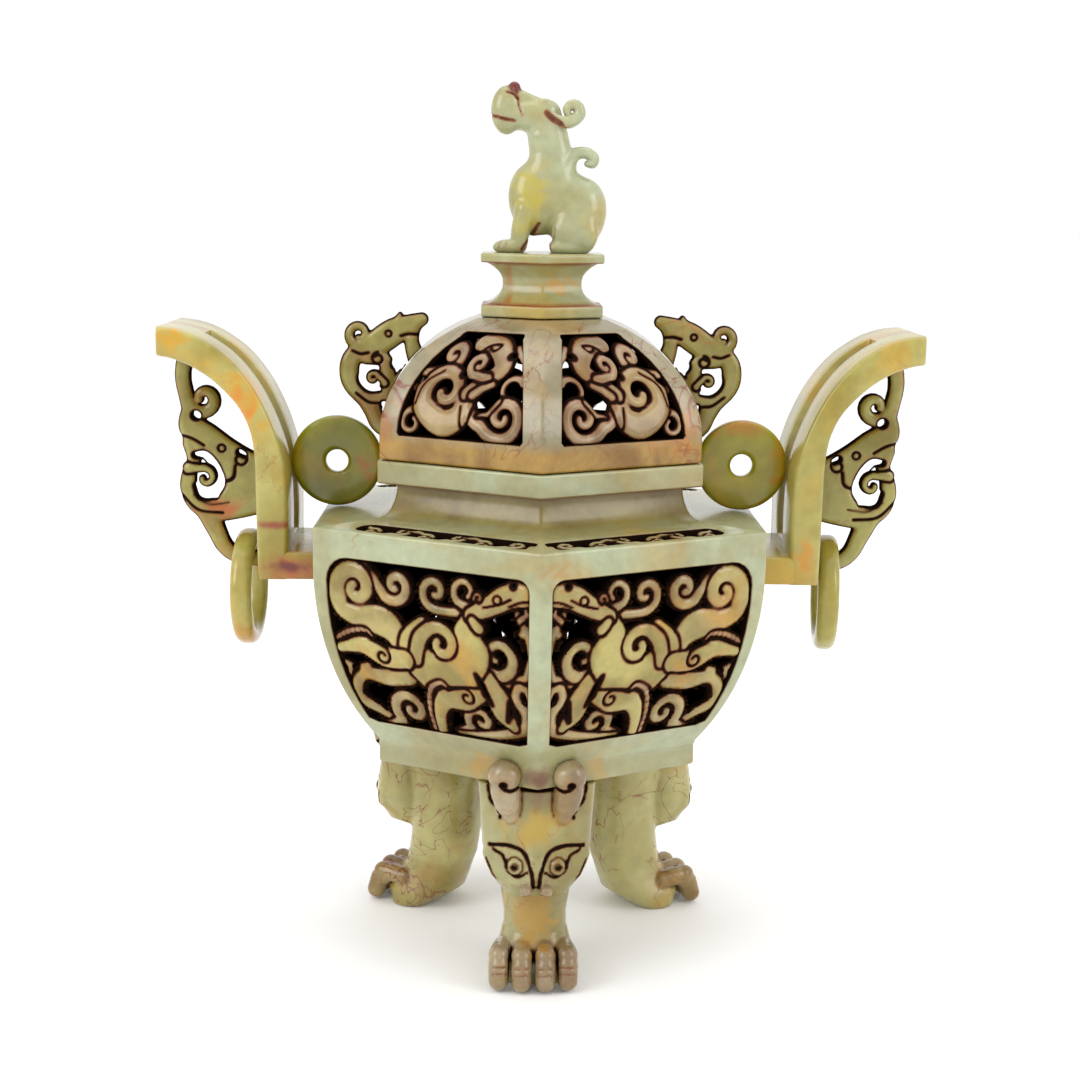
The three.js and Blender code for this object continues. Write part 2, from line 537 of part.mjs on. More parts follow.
function buildFin(hand) {
  const wall = steps(6).map((t) => {
    const z = THREE.MathUtils.lerp(DOME_SPRING_Z, DOME_TOP_Z, t);
    return [domeHalfAt(z) + TOUCH_GAP * 1.3, z];
  });
  const dome = hexTurning([
    [0, LID_BOTTOM_Z], [wall[0][0], LID_BOTTOM_Z], ...wall,
    [wall[wall.length - 1][0], DOME_TOP_Z + TOUCH_GAP], [0, DOME_TOP_Z + TOUCH_GAP],
  ]);
  const bands = stretched(FIN_BANDS, FIN_DRAWN, LID_HALF, DOME_SPRING_Z, DOME_TOP_Z);
  return joined(crestBands(bands, hand, FIN_THICKNESS)).subtract(dome);
}

// The beast is drawn standing at this height.
const BEAST_DRAWN_Z = 213.3;

function buildFinial() {
  const step = 1.6;
  const waist = steps(4).map((t) => {
    const spread = (STAND_BASE_HALF - step - STAND_WAIST_HALF) * (2 * t - 1) ** 2;
    return [STAND_WAIST_HALF + spread, STAND_BOTTOM_Z + STAND_BASE_HEIGHT + STAND_WAIST_HEIGHT * t];
  });
  const stand = hexTurning([
    [0, STAND_BOTTOM_Z], [STAND_BASE_HALF, STAND_BOTTOM_Z],
    [STAND_BASE_HALF, STAND_BOTTOM_Z + STAND_BASE_HEIGHT], ...waist,
    [STAND_PLATE_HALF, STAND_PLATE_Z], [STAND_PLATE_HALF, STAND_TOP_Z], [0, STAND_TOP_Z],
  ]);
  const ear = [[0, 254, 3.4], [5, 251.6, 3.6], [9.8, 253.6, 3], [9, 257.8, 2.4], [6.4, 256.4, 1.8]];
  const tail = [[7, 236, 6], [9.4, 241.6, 4.4], [13, 243.6, 3], [15.2, 240.8, 2.6], [13, 239.2, 2]];
  const beast = joined([
    ball(11, 0, 225, 8.4, 7.6, 11.4, 7, 4),
    ball(-3, 0, 229, 7.4, 6.6, 10.6, 7, 4),
    ball(4, 0, 231, 9.6, 6.4, 9.6, 6, 4),
    ball(1, 0, 243, 5.6, 4.6, 10, 6, 3),
    ball(-4.4, 0, 253.6, 9, 4.6, 5.6, 7, 4),
    ball(-12, 0, 254.8, 4.8, 4, 7.6, 6, 4),
    ball(-9.6, 0, 260.9, 3.4, 2.4, 2.9, 5, 3),
    ...[-1, 1].flatMap((hand) => [
      ball(-8.4, hand * 3.4, 219, 3.2, 2.8, 7.4, 5, 3),
      ball(-11, hand * 3.4, 214.8, 4.6, 3, 2.4, 6, 3),
      ball(9, hand * 4.4, 216, 6.2, 3.4, 4.2, 6, 3),
    ]),
    ...crestBands([ear], 1, 7),
    ...crestBands([tail], 1, 4.4),
  ]);
  return stand.add(shifted(beast, 0, STAND_TOP_Z - BEAST_DRAWN_Z));
}

function discShape() {
  const shape = new THREE.Shape().absarc(0, 0, DISC_RADIUS, 0, Math.PI * 2, false);
  shape.holes.push(new THREE.Path().absarc(0, 0, DISC_HOLE_RADIUS, 0, Math.PI * 2, true));
  return shape;
}

function buildDisc(hand) {
  const slope = SHOULDER_RISE / (BODY_HALF - LEDGE_HALF);
  const restZ = BODY_EDGE_Z + slope * (BODY_HALF - DISC_X) + TOUCH_GAP;
  const geometry = uprightPlate(discShape(), 270, -DISC_THICKNESS / 2, DISC_THICKNESS, 12);
  return solid(geometry.translate(hand * DISC_X, 0, restZ + DISC_RADIUS));
}

function buildRing(hand) {
  const turn = hand < 0 ? RING_TURN_LEFT : RING_TURN_RIGHT;
  const geometry = new THREE.TorusGeometry(RING_RADIUS - RING_SECTION_RADIUS, RING_SECTION_RADIUS, 5, 18);
  geometry.scale(1, 1, RING_WIDTH / (2 * RING_SECTION_RADIUS));
  geometry.rotateY(Math.PI / 2).rotateZ(radians(turn));
  const x = STRAP_INNER_X + RING_STAND_OFF;
  return solid(geometry.translate(hand * x, 0, BRACKET_BOTTOM_Z - RING_DROP));
}

const group = new THREE.Group();
group.add(meshOf('body', buildBody(), paleStone));
group.add(meshOf('lid', buildLid(), bandedStone));
group.add(meshOf('finial', buildFinial(), paleStone));

const leg = buildLeg(footKeepOut());
for (const [name, angle] of Object.entries(LEG_ANGLES)) {
  group.add(meshOf(name, turned(leg, angle), paleStone));
}

for (const [side, hand] of [['left', -1], ['right', 1]]) {
  group.add(meshOf(`handle_${side}`, buildHandle(hand), amberStone));
  group.add(meshOf(`scroll_${side}`, buildScroll(hand, strapKeepOut(hand)), tanStone));
  group.add(meshOf(`disc_${side}`, buildDisc(hand), oliveStone));
  group.add(meshOf(`ring_${side}`, buildRing(hand), amberStone));
  group.add(meshOf(`fin_${side}`, buildFin(hand), tanStone));
}

export default group;
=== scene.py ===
"""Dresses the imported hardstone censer: carved stone pieces, their finishes, the floor, the light and the camera.

Sizes are in millimetres in the vessel's own frame, +Z up and the front leg toward -Y, and become metres
only where a mesh is made. Carving is done on two kinds of grid: a Relief is a flat drawing with a height,
for openwork panels and plates, and a Clay is a block of distances, for the beasts and the paws.
"""

import logging
import math
from dataclasses import dataclass, field
from enum import Enum
from typing import Callable, Sequence

import bmesh
import bpy
import numpy as np
from mathutils import Matrix, Vector
from mathutils.geometry import delaunay_2d_cdt


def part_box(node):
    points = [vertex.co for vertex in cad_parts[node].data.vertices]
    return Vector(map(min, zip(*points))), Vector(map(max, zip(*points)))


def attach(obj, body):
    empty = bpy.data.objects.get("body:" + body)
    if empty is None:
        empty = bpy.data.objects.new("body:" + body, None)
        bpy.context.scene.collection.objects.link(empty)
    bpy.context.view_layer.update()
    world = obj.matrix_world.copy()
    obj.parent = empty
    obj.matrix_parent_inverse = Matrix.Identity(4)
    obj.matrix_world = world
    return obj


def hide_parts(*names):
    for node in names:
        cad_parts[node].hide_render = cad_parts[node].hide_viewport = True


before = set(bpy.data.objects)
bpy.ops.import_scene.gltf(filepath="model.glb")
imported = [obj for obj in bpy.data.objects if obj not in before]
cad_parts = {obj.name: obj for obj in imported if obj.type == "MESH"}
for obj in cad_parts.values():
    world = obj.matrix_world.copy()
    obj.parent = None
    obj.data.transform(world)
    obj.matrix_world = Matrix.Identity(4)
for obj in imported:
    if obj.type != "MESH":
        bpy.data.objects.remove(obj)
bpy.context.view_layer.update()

logging.basicConfig(level=logging.INFO, format="%(message)s")
log = logging.getLogger("censer")

MM = 0.001
FAR = 99.0
Point = tuple[float, ...]
Stroke = Sequence[Point]


class Slot(Enum):
    """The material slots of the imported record."""

    PALE = "pale_stone"
    BANDED = "banded_stone"
    AMBER = "amber_stone"
    OLIVE = "olive_stone"
    TAN = "tan_stone"


class Side(Enum):
    """Left and right, with the sign of X that each has."""

    LEFT = -1
    RIGHT = 1


def node_box(name: str) -> tuple[np.ndarray, np.ndarray]:
    """Returns the lowest and highest corner of a CAD node, in millimetres."""
    low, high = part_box(name)
    return np.array(low) / MM, np.array(high) / MM


def smooth_min(a: np.ndarray, b: np.ndarray, blend: float) -> np.ndarray:
    """Joins two distance fields with a soft seam.

    Args:
        a: The first field.
        b: The second field.
        blend: The width of the soft seam, in millimetres.

    Returns:
        The joined field.
    """
    share = np.clip(0.5 + 0.5 * (b - a) / blend, 0, 1)
    return b + (a - b) * share - blend * share * (1 - share)


def smooth_max(a: np.ndarray, b: np.ndarray, blend: float) -> np.ndarray:
    """Cuts one distance field with another, with a soft edge."""
    return -smooth_min(-a, -b, blend)


def ease(low: float, high: float, value: np.ndarray) -> np.ndarray:
    """A smooth step from 0 at low to 1 at high."""
    share = np.clip((value - low) / (high - low), 0, 1)
    return share * share * (3 - 2 * share)


def flowing(points: Stroke, steps: int = 6) -> np.ndarray:
    """Returns a smooth line through given points.

    Args:
        points: The points, each with any number of values.
        steps: How many pieces each stretch is divided into.
    """
    place = np.array(points, float)
    padded = np.vstack([2 * place[0] - place[1], place, 2 * place[-1] - place[-2]])
    rows = []
    for a, b, c, d in zip(padded, padded[1:], padded[2:], padded[3:]):
        for t in np.arange(steps) / steps:
            square = (2 * a - 5 * b + 4 * c - d) * t * t
            rows.append(0.5 * (2 * b + (c - a) * t + square + (3 * b - a - 3 * c + d) * t**3))
    return np.vstack([*rows, place[-1]])


def curl(centre: Point, start: float, turns: float, radii: Point, widths: Point, tail: Stroke = ()) -> np.ndarray:
    """Returns a spiral stroke of points [u, v, width].

    Args:
        centre: The middle of the spiral.
        start: The angle at which the outer end begins, in degrees.
        turns: How far it winds inwards, counter-clockwise where positive.
        radii: The radius of the centre line at the outer and the inner end.
        widths: The width of the stroke at the outer and the inner end.
        tail: Points that lead to the outer end.
    """
    share = np.linspace(0, 1, max(8, int(abs(turns) * 20)))
    angle = math.radians(start) + 2 * math.pi * turns * share
    radius = radii[0] + (radii[1] - radii[0]) * share**0.85
    width = widths[0] + (widths[1] - widths[0]) * share
    spiral = np.column_stack([centre[0] + radius * np.cos(angle), centre[1] + radius * np.sin(angle), width])
    if len(tail) == 0:
        return spiral
    return np.vstack([flowing([*tail, spiral[0]])[:-1], spiral])


def surface_net(values: np.ndarray, low: np.ndarray, step: float) -> tuple[np.ndarray, np.ndarray]:
    """Turns a distance field into a closed mesh of four-sided faces, where it is below zero.

    Args:
        values: The field on a regular grid.
        low: The place of the first grid point.
        step: The distance between grid points.

    Returns:
        The vertices and the faces.
    """
    values = np.pad(values, 1, constant_values=FAR)
    origin = np.asarray(low, float) - step
    inside = values < 0
    shape = np.array(values.shape) - 1
    corners = [(i, j, k) for i in (0, 1) for j in (0, 1) for k in (0, 1)]
    total = sum(inside[i:i + shape[0], j:j + shape[1], k:k + shape[2]].astype(np.int8) for i, j, k in corners)
    cells = np.argwhere((total > 0) & (total < 8))
    number = np.full(shape, -1, np.int64)
    number[tuple(cells.T)] = np.arange(len(cells))
    place = np.zeros((len(cells), 3))
    count = np.zeros(len(cells))
    for a in corners:
        for axis in range(3):
            if a[axis]:
                continue
            b = np.array(a)
            b[axis] = 1
            here = values[tuple((cells + a).T)]
            there = values[tuple((cells + b).T)]
            crossed = (here < 0) != (there < 0)
            share = here[crossed] / (here[crossed] - there[crossed])
            point = np.tile(np.array(a, float), (len(share), 1))
            point[:, axis] = share
            place[crossed] += point
            count[crossed] += 1
    vertices = origin + step * (cells + place / count[:, None])
    faces = []
    for axis in range(3):
        side, up = (axis + 1) % 3, (axis + 2) % 3
        first = [slice(1, shape[n] - 1) for n in range(3)]
        second = list(first)
        first[axis] = slice(0, shape[axis])
        second[axis] = slice(1, shape[axis] + 1)
        lower, upper = inside[tuple(first)], inside[tuple(second)]
        for flip, chosen in ((False, lower & ~upper), (True, upper & ~lower)):
            edge = np.argwhere(chosen)
            edge += [0 if n == axis else 1 for n in range(3)]
            ring = []
            for ds, du in ((-1, -1), (0, -1), (0, 0), (-1, 0)):
                cell = edge.copy()
                cell[:, side] += ds
                cell[:, up] += du
                ring.append(number[tuple(cell.T)])
            quad = np.column_stack(ring)
            faces.append(quad[:, ::-1] if flip else quad)
    return vertices, np.vstack(faces)


def sampled(grid: np.ndarray, low: np.ndarray, step: float, points: np.ndarray) -> np.ndarray:
    """Returns the values of a regular grid at points between its own, mixed from the nearest ones."""
    place = (points - low) / step
    first = np.floor(place).astype(int)
    share = place - first
    total = np.zeros(len(points))
    for corner in np.ndindex(*[2] * grid.ndim):
        at = tuple(np.clip(first[:, n] + corner[n], 0, grid.shape[n] - 1) for n in range(grid.ndim))
        weight = np.prod([share[:, n] if corner[n] else 1 - share[:, n] for n in range(grid.ndim)], axis=0)
        total += weight * grid[at]
    return total


@dataclass
class Shape:
    """Loose geometry in millimetres, with two painted values at each vertex."""

    vertices: np.ndarray
    faces: list
    stain: np.ndarray
    tone: np.ndarray

    @classmethod
    def plain(cls, vertices: Sequence, faces: Sequence, stain: float = 0.0, tone: float = 0.0) -> "Shape":
        """Returns a shape whose painted values are the same all over."""
        place = np.array(vertices, float).reshape(-1, 3)
        return cls(place, [list(f) for f in faces], np.full(len(place), stain), np.full(len(place), tone))

    @classmethod
    def joined(cls, shapes: Sequence["Shape"]) -> "Shape":
        """Returns several shapes as one."""
        faces, first = [], 0
        for shape in shapes:
            faces += [[v + first for v in face] for face in shape.faces]
            first += len(shape.vertices)
        return cls(
            np.vstack([s.vertices for s in shapes]), faces,
            np.concatenate([s.stain for s in shapes]), np.concatenate([s.tone for s in shapes]),
        )

    def volume(self) -> float:
        """Returns the volume that the faces enclose, which is negative where they point inwards."""
        total = 0.0
        for count in {len(f) for f in self.faces}:
            ring = np.array([f for f in self.faces if len(f) == count])
            for k in range(1, count - 1):
                a, b, c = (self.vertices[ring[:, n]] for n in (0, k, k + 1))
                total += float(np.einsum("ij,ij->", a, np.cross(b, c)))
        return total / 6

    def outward(self) -> "Shape":
        """Returns the shape with its faces pointing out."""
        if self.volume() < 0:
            self.faces = [face[::-1] for face in self.faces]
        return self

    def moved(self, place: Callable[[np.ndarray], np.ndarray]) -> "Shape":
        """Returns a copy whose vertices went through a function, facing out."""
        copy = Shape(place(self.vertices), [list(f) for f in self.faces], self.stain.copy(), self.tone.copy())
        return copy.outward()

    def welded(self) -> "Shape":
        """Returns a copy in which vertices at the same place are one."""
        keys = np.round(self.vertices / 2e-3).astype(np.int64)
        _, first, group = np.unique(keys, axis=0, return_index=True, return_inverse=True)
        group = group.ravel()
        faces = []
        for face in self.faces:
            ring = [group[v] for v in face]
            ring = [v for n, v in enumerate(ring) if v != ring[n - 1]]
            if len(ring) > 2:
                faces.append([int(v) for v in ring])
        return Shape(self.vertices[first], faces, self.stain[first], self.tone[first])

    def turned(self, degrees: float) -> "Shape":
        """Returns a copy turned about the vessel's axis."""
        angle = math.radians(degrees)
        turn = np.array([[math.cos(angle), -math.sin(angle), 0], [math.sin(angle), math.cos(angle), 0], [0, 0, 1]])
        return Shape(self.vertices @ turn.T, self.faces, self.stain, self.tone)

    def mesh_object(self, name: str, material: bpy.types.Material, crease: float | None = None) -> bpy.types.Object:
        """Makes the shape a Blender object.

        Args:
            name: The name of the piece.
            material: Its finish.
            crease: The angle in degrees past which an edge stays sharp, or None for a smooth piece.
        """
        mesh = bpy.data.meshes.new(name)
        mesh.from_pydata((self.vertices * MM).tolist(), [], self.faces)
        for label, values in (("stain", self.stain), ("tone", self.tone)):
            mesh.attributes.new(label, "FLOAT", "POINT").data.foreach_set("value", values.astype(np.float32))
        mesh.materials.append(material)
        if crease is not None:
            shell = bmesh.new()
            shell.from_mesh(mesh)
            bmesh.ops.recalc_face_normals(shell, faces=shell.faces)
            shell.to_mesh(mesh)
            shell.free()
        mesh.shade_smooth()
        if crease is not None:
            mesh.set_sharp_from_angle(angle=math.radians(crease))
        mesh.validate()
        piece = bpy.data.objects.new(name, mesh)
        bpy.context.scene.collection.objects.link(piece)
        return piece


def declare(piece: bpy.types.Object, slot: Slot, *nodes: str) -> bpy.types.Object:
    """Ties a finished piece to the frame and reports it.

    Args:
        piece: The finished piece.
        slot: The record's material slot; not used.
        nodes: The CAD nodes that it stands for.
    """
    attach(piece, "root")
    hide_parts(*nodes)
    triangles = sum(len(p.vertices) - 2 for p in piece.data.polygons)
    log.info("piece %s: %d triangles, for %s", piece.name, triangles, ", ".join(nodes))
    return piece


class Relief:
    """A carved drawing on a flat grid, with its height, its staining and painted shade, and its tone, which becomes a
    plate of stone.
    """

    def __init__(self, low: Point, high: Point, step: float) -> None:
        """Lays out the grid.

        Args:
            low: The lowest u and v.
            high: The highest u and v.
            step: The distance between grid points.
        """
        self.low, self.step = np.array(low, float), step
        axes = [np.arange(low[n], high[n] + step, step) for n in (0, 1)]
        self.u, self.v = np.meshgrid(*axes, indexing="ij")
        self.inside = np.full(self.u.shape, FAR)
        self.height = np.zeros(self.u.shape)
        self.stain = np.zeros(self.u.shape)
        self.tone = np.zeros(self.u.shape)

    def fit(self, outline: np.ndarray, margin: float) -> "Relief":
        """Trims the drawing to an opening, sunk where it runs into the frame, with painted shade in the crease along
        the frame.

        Args:
            outline: The outline of the opening.
            margin: How far the drawing goes into the frame.
        """
        points = np.column_stack([self.u.ravel(), self.v.ravel()])
        away = np.full(len(points), FAR)
        for a, b in zip(outline, np.roll(outline, -1, axis=0)):
            along = b - a
            share = np.clip(((points - a) @ along) / (along @ along), 0, 1)
            away = np.minimum(away, np.linalg.norm(points - a - share[:, None] * along, axis=1))
        away = np.where(within(points, outline), -away, away).reshape(self.u.shape)
        self.inside = np.maximum(self.inside, away - margin)
        self.height -= 1.1 * ease(-1.1, 0.1, away)
        # Painted shade in the crease where the drawing meets the frame.
        self.stain = np.maximum(self.stain, np.exp(-(((away + 0.1) / 0.5) ** 2)))
        return self

    def distance(self, stroke: Stroke, reach: float = 3.0) -> np.ndarray:
        """Returns how far each grid point is outside a stroke of points [u, v, width]."""
        line = np.array(stroke, float)
        found = np.full(self.u.shape, FAR)
        for a, b in zip(line, line[1:]):
            margin = max(a[2], b[2]) / 2 + reach
            span = []
            for n in (0, 1):
                first = int((min(a[n], b[n]) - margin - self.low[n]) / self.step)
                last = int((max(a[n], b[n]) + margin - self.low[n]) / self.step) + 2
                span.append(slice(max(first, 0), max(last, 0)))
            part = tuple(span)
            du, dv = self.u[part] - a[0], self.v[part] - a[1]
            along = b[:2] - a[:2]
            share = np.clip((du * along[0] + dv * along[1]) / max(along @ along, 1e-9), 0, 1)
            away = np.hypot(du - share * along[0], dv - share * along[1])
            found[part] = np.minimum(found[part], away - (a[2] + (b[2] - a[2]) * share) / 2)
        return found

    def lay(self, strokes: Sequence[Stroke], level: float = 0.0, tone: float = 0.0, outline: float = 1.0,
            blend: float = 1.4, edge: float = 2.2, drop: float = 1.3) -> None:
        """Adds strokes that flow into each other, over what is already there.

        Args:
            strokes: The strokes.
            level: The height of their middle over the face.
            tone: The value of the second tint.
            outline: How dark the cut round them is.
            blend: How softly they run into each other.
            edge: How far in from the edge the rounding reaches.
            drop: How far the rounding falls at the edge.
        """
        found = np.full(self.u.shape, FAR)
        for stroke in strokes:
            found = smooth_min(self.distance(stroke), found, blend)
        rounding = np.clip(-found / edge, 0, 1)
        height = level - drop * (1 - rounding) ** 2
        covered = found < 0
        before = np.where(self.inside < 0, self.height, -FAR)
        self.height = np.where(covered, np.maximum(before, height), self.height)
        self.stain *= ease(-0.9, -0.25, found)
        self.stain = np.maximum(self.stain, outline * np.exp(-((found / 0.5) ** 2)))
        self.tone = np.where(covered, tone, self.tone)
        self.inside = np.minimum(self.inside, found)

    def engrave(self, line: Stroke, depth: float = 0.6, width: float = 0.5, dark: float = 1.0) -> None:
        """Cuts a fine stained line of points [u, v]."""
        away = self.distance([(p[0], p[1], 0.0) for p in line])
        print_of = np.exp(-((away / width) ** 2))
        self.height -= depth * print_of
        self.stain = np.maximum(self.stain, dark * print_of)

    def cut(self, stroke: Stroke, dark: float = 1.0) -> None:
        """Cuts a stroke right through, with painted shade round its edge."""
        found = self.distance(stroke)
        self.inside = smooth_max(self.inside, -found, 0.3)
        # Painted shade round the edge of the hole.
        self.stain = np.maximum(self.stain, dark * np.exp(-((np.maximum(found, 0) / 0.7) ** 2)))

    def plate(self, front: float, back: float, both: bool = False, wall_shade: float = 1.0) -> Shape:
        """Returns the carved plate, with u and v as drawn and its height along w.

        Args:
            front: The room that the carving takes over level 0.
            back: The depth of the back face under level 0, or half the thickness where both faces are carved.
            both: Whether the back face is carved like the front.
            wall_shade: How dark the painted shade deep on the walls of the cuts is.
        """
        step = self.step
        reach = back + front if both else front
        levels = np.arange(-max(back, reach if both else 0) - 2 * step, reach + 2 * step, step)
        w = levels[None, None, :]
        inside = self.inside[:, :, None]
        height = self.height[:, :, None]
        if both:
            values = smooth_max(inside, np.abs(w) - back - height, 0.7)
        else:
            values = smooth_max(inside, w - height, 0.7)
            values = smooth_max(values, -back - w, 0.5)
        vertices, faces = surface_net(values, np.array([*self.low, levels[0]]), step)
        inside, stain, tone = (sampled(grid, self.low, step, vertices[:, :2])
                               for grid in (self.inside, self.stain, self.tone))
        # Painted shade: the walls of the cuts darken with depth.
        if both:
            depth = 0.8 * ease(0.4, 1.6, back - np.abs(vertices[:, 2])) * ease(-0.9, -0.1, inside)
        else:
            depth = ease(1.6, 3.2, -vertices[:, 2])
        return Shape(vertices, faces.tolist(), np.maximum(stain, wall_shade * depth), tone)


class Clay:
    """A block of distances that forms are added to and cut from."""

    def __init__(self, low: Point, high: Point, step: float) -> None:
        """Lays out the grid between two corners."""
        self.low, self.step = np.array(low, float), step
        self.axes = [np.arange(low[n], high[n] + step, step) for n in range(3)]
        shape = [len(a) for a in self.axes]
        self.values = np.full(shape, FAR)
        self.stain = np.zeros(shape)
        self.tone = np.zeros(shape)

    def region(self, low: np.ndarray, high: np.ndarray) -> tuple[tuple[slice, ...], list[np.ndarray]]:
        """Returns the part of the grid between two corners and the coordinates in it."""
        part, grids = [], []
        for n in range(3):
            first = max(int((low[n] - self.low[n]) / self.step), 0)
            last = max(int((high[n] - self.low[n]) / self.step) + 2, first + 1)
            part.append(slice(first, last))
            grids.append(self.axes[n][part[-1]])
        return tuple(part), list(np.meshgrid(*grids, indexing="ij"))

    def ball(self, centre: Point, radii: Point, tilt: float = 0.0) -> tuple:
        """Returns the part and the distances of an ellipsoid, tilted in degrees about Y."""
        centre, radii = np.array(centre, float), np.array(radii, float)
        reach = radii.max() + 4
        part, (x, y, z) = self.region(centre - reach, centre + reach)
        x, y, z = x - centre[0], y - centre[1], z - centre[2]
        c, s = math.cos(math.radians(tilt)), math.sin(math.radians(tilt))
        x, z = c * x + s * z, c * z - s * x
        first = np.sqrt((x / radii[0]) ** 2 + (y / radii[1]) ** 2 + (z / radii[2]) ** 2) + 1e-6
        second = np.sqrt((x / radii[0] ** 2) ** 2 + (y / radii[1] ** 2) ** 2 + (z / radii[2] ** 2) ** 2) + 1e-6
        return part, first * (first - 1) / second

    def rope(self, points: Stroke, flat: float = 1.0) -> tuple:
        """Returns the part and the distances of a tapered tube of points [x, y, z, radius].

        Args:
            points: The points of the centre line.
            flat: How many times wider than its radius it is along Y.
        """
        line = np.array(points, float)
        reach = line[:, 3].max() * max(flat, 1) + 4
        part, (x, y, z) = self.region(line[:, :3].min(0) - reach, line[:, :3].max(0) + reach)
        found = np.full(x.shape, FAR)
        for a, b in zip(line, line[1:]):
            along = b[:3] - a[:3]
            dx, dy, dz = x - a[0], y - a[1], z - a[2]
            share = np.clip((dx * along[0] + dy * along[1] + dz * along[2]) / max(along @ along, 1e-9), 0, 1)
            away = np.sqrt(
                (dx - share * along[0]) ** 2 + ((dy - share * along[1]) / flat) ** 2 + (dz - share * along[2]) ** 2
            )
            found = np.minimum(found, away - (a[3] + (b[3] - a[3]) * share))
        return part, found

    def column(self, sections: Stroke, power: float = 2.6) -> tuple:
        """Returns the whole grid and the distances of a column of sections [z, back x, front x, half width]."""
        rows = np.array(sorted(sections), float)
        part, (x, y, z) = self.region(self.low, self.low + self.step * np.array(self.values.shape))
        back, front, half = (np.interp(z, rows[:, 0], rows[:, n]) for n in (1, 2, 3))
        depth = (front - back) / 2
        norm = (np.abs((x - (front + back) / 2) / depth) ** power + np.abs(y / half) ** power) ** (1 / power)
        found = (norm - 1) * np.minimum(depth, half)
        return part, np.maximum(found, np.maximum(z - rows[-1, 0], rows[0, 0] - z))

    def add(self, form: tuple, blend: float = 1.0, tone: float | None = None) -> None:
        """Adds a form with a soft seam."""
        part, found = form
        self.values[part] = smooth_min(found, self.values[part], blend)
        if tone is not None:
            self.tone[part] = np.where(found < 0.6, tone, self.tone[part])

    def cut(self, form: tuple, blend: float = 0.4, dark: float = 1.0, spread: float = 0.5) -> None:
        """Cuts a form away and darkens round the cut: staining where it is a fine engraved line, painted shade where
        it is a hollow.
        """
        part, found = form
        self.values[part] = smooth_max(self.values[part], -found, blend)
        # Staining in engraved lines, painted shade in carved hollows.
        mark = dark * np.exp(-((np.maximum(found, 0) / spread) ** 2))
        self.stain[part] = np.maximum(self.stain[part], mark)

    def engrave(self, points: Stroke, radius: float = 0.45, dark: float = 1.0) -> None:
        """Cuts a fine stained line of points [x, y, z]."""
        line = [(*p[:3], radius) for p in flowing(points, 4)]
        self.cut(self.rope(line), 0.25, dark, 0.45)

    def outermost(self, axis: int, sign: int, first: float, second: float) -> list[float]:
        """Returns the point of the surface that looks along an axis, at the other two coordinates."""
        others = [n for n in range(3) if n != axis]
        at = [slice(None)] * 3
        for n, value in zip(others, (first, second)):
            at[n] = int(np.clip(round((value - self.low[n]) / self.step), 0, self.values.shape[n] - 1))
        filled = np.nonzero(self.values[tuple(at)] < 0)[0]
        point = [0.0, 0.0, 0.0]
        point[others[0]], point[others[1]] = first, second
        if len(filled):
            point[axis] = float(self.axes[axis][filled[-1] if sign > 0 else filled[0]])
        return point

    def trace(self, points: Stroke, axis: int, sign: int, radius: float = 0.25, dark: float = 1.0) -> None:
        """Cuts a fine stained line that is drawn on one side of the form.

        Args:
            points: The points, by the two coordinates other than the axis.
            axis: The axis that the side looks along.
            sign: Which way it looks.
            radius: Half the width of the line.
            dark: How dark it is.
        """
        line = [(*self.outermost(axis, sign, p[0], p[1]), radius) for p in flowing(points, 5)]
        self.cut(self.rope(line), 0.2, dark, 0.34)

    def shape(self, hollow_shade: float = 1.0) -> Shape:
        """Returns the sculpted form, with painted shade where it is hollow.

        Args:
            hollow_shade: How dark the painted shade in the hollows is.
        """
        vertices, faces = surface_net(self.values, self.low, self.step)
        # Painted shade: points with much stone round them lie in hollows and are darkened.
        stone = (self.values < 0).astype(np.float32)
        for axis in range(3):
            stone = blurred(stone, axis, max(1, round(1.3 / self.step)))
        stone, stain, tone = (sampled(grid, self.low, self.step, vertices) for grid in (stone, self.stain, self.tone))
        return Shape(vertices, faces.tolist(), np.maximum(stain, hollow_shade * ease(0.62, 0.86, stone)), tone)


def blurred(values: np.ndarray, axis: int, reach: int) -> np.ndarray:
    """Returns the mean of each value and its neighbours along an axis."""
    padded = np.pad(values, [(reach + 1, reach) if n == axis else (0, 0) for n in range(values.ndim)], mode="edge")
    total = np.cumsum(padded, axis=axis, dtype=np.float64)
    count = values.shape[axis]
    width = 2 * reach + 1
    upper = np.take(total, np.arange(width, width + count), axis=axis)
    lower = np.take(total, np.arange(0, count), axis=axis)
    return (upper - lower) / width


@dataclass(frozen=True)
class Vessel:
    """The sizes that the vessel's pieces share. A half is the distance from the axis to a flat side."""

    body_half: float = 66.0
    body_edge_z: float = 134.8
    sweep_top_z: float = 124.0
    sweep_height: float = 80.0
    wall: float = 5.2
    ledge_half: float = 47.5
    ledge_bottom_z: float = 61.5
    ledge_top_z: float = 67.0
    floor_z: float = 69.5
    neck_foot_z: float = 136.0
    neck_half: float = 42.2
    bore_half: float = 37.4
    rim_half: float = 48.0
    rim_bottom_z: float = 146.3
    rim_top_z: float = 153.1
    gap: float = 0.3
    lid_half: float = 47.4
    dome_spring_z: float = 160.0
    dome_height: float = 37.3
    dome_top_z: float = 194.2
    dome_wall: float = 3.8

    def body_half_at(self, z: np.ndarray) -> np.ndarray:
        """Returns the half width of the bowl's outside at a height."""
        drop = np.maximum(0, self.sweep_top_z - z) / self.sweep_height
        return self.body_half * np.sqrt(1 - drop * drop)

    def dome_half_at(self, z: np.ndarray) -> np.ndarray:
        """Returns the half width of the dome's outside at a height."""
        rise = np.clip((z - self.dome_spring_z) / self.dome_height, 0, 0.995)
        return self.lid_half * np.sqrt(1 - rise * rise)


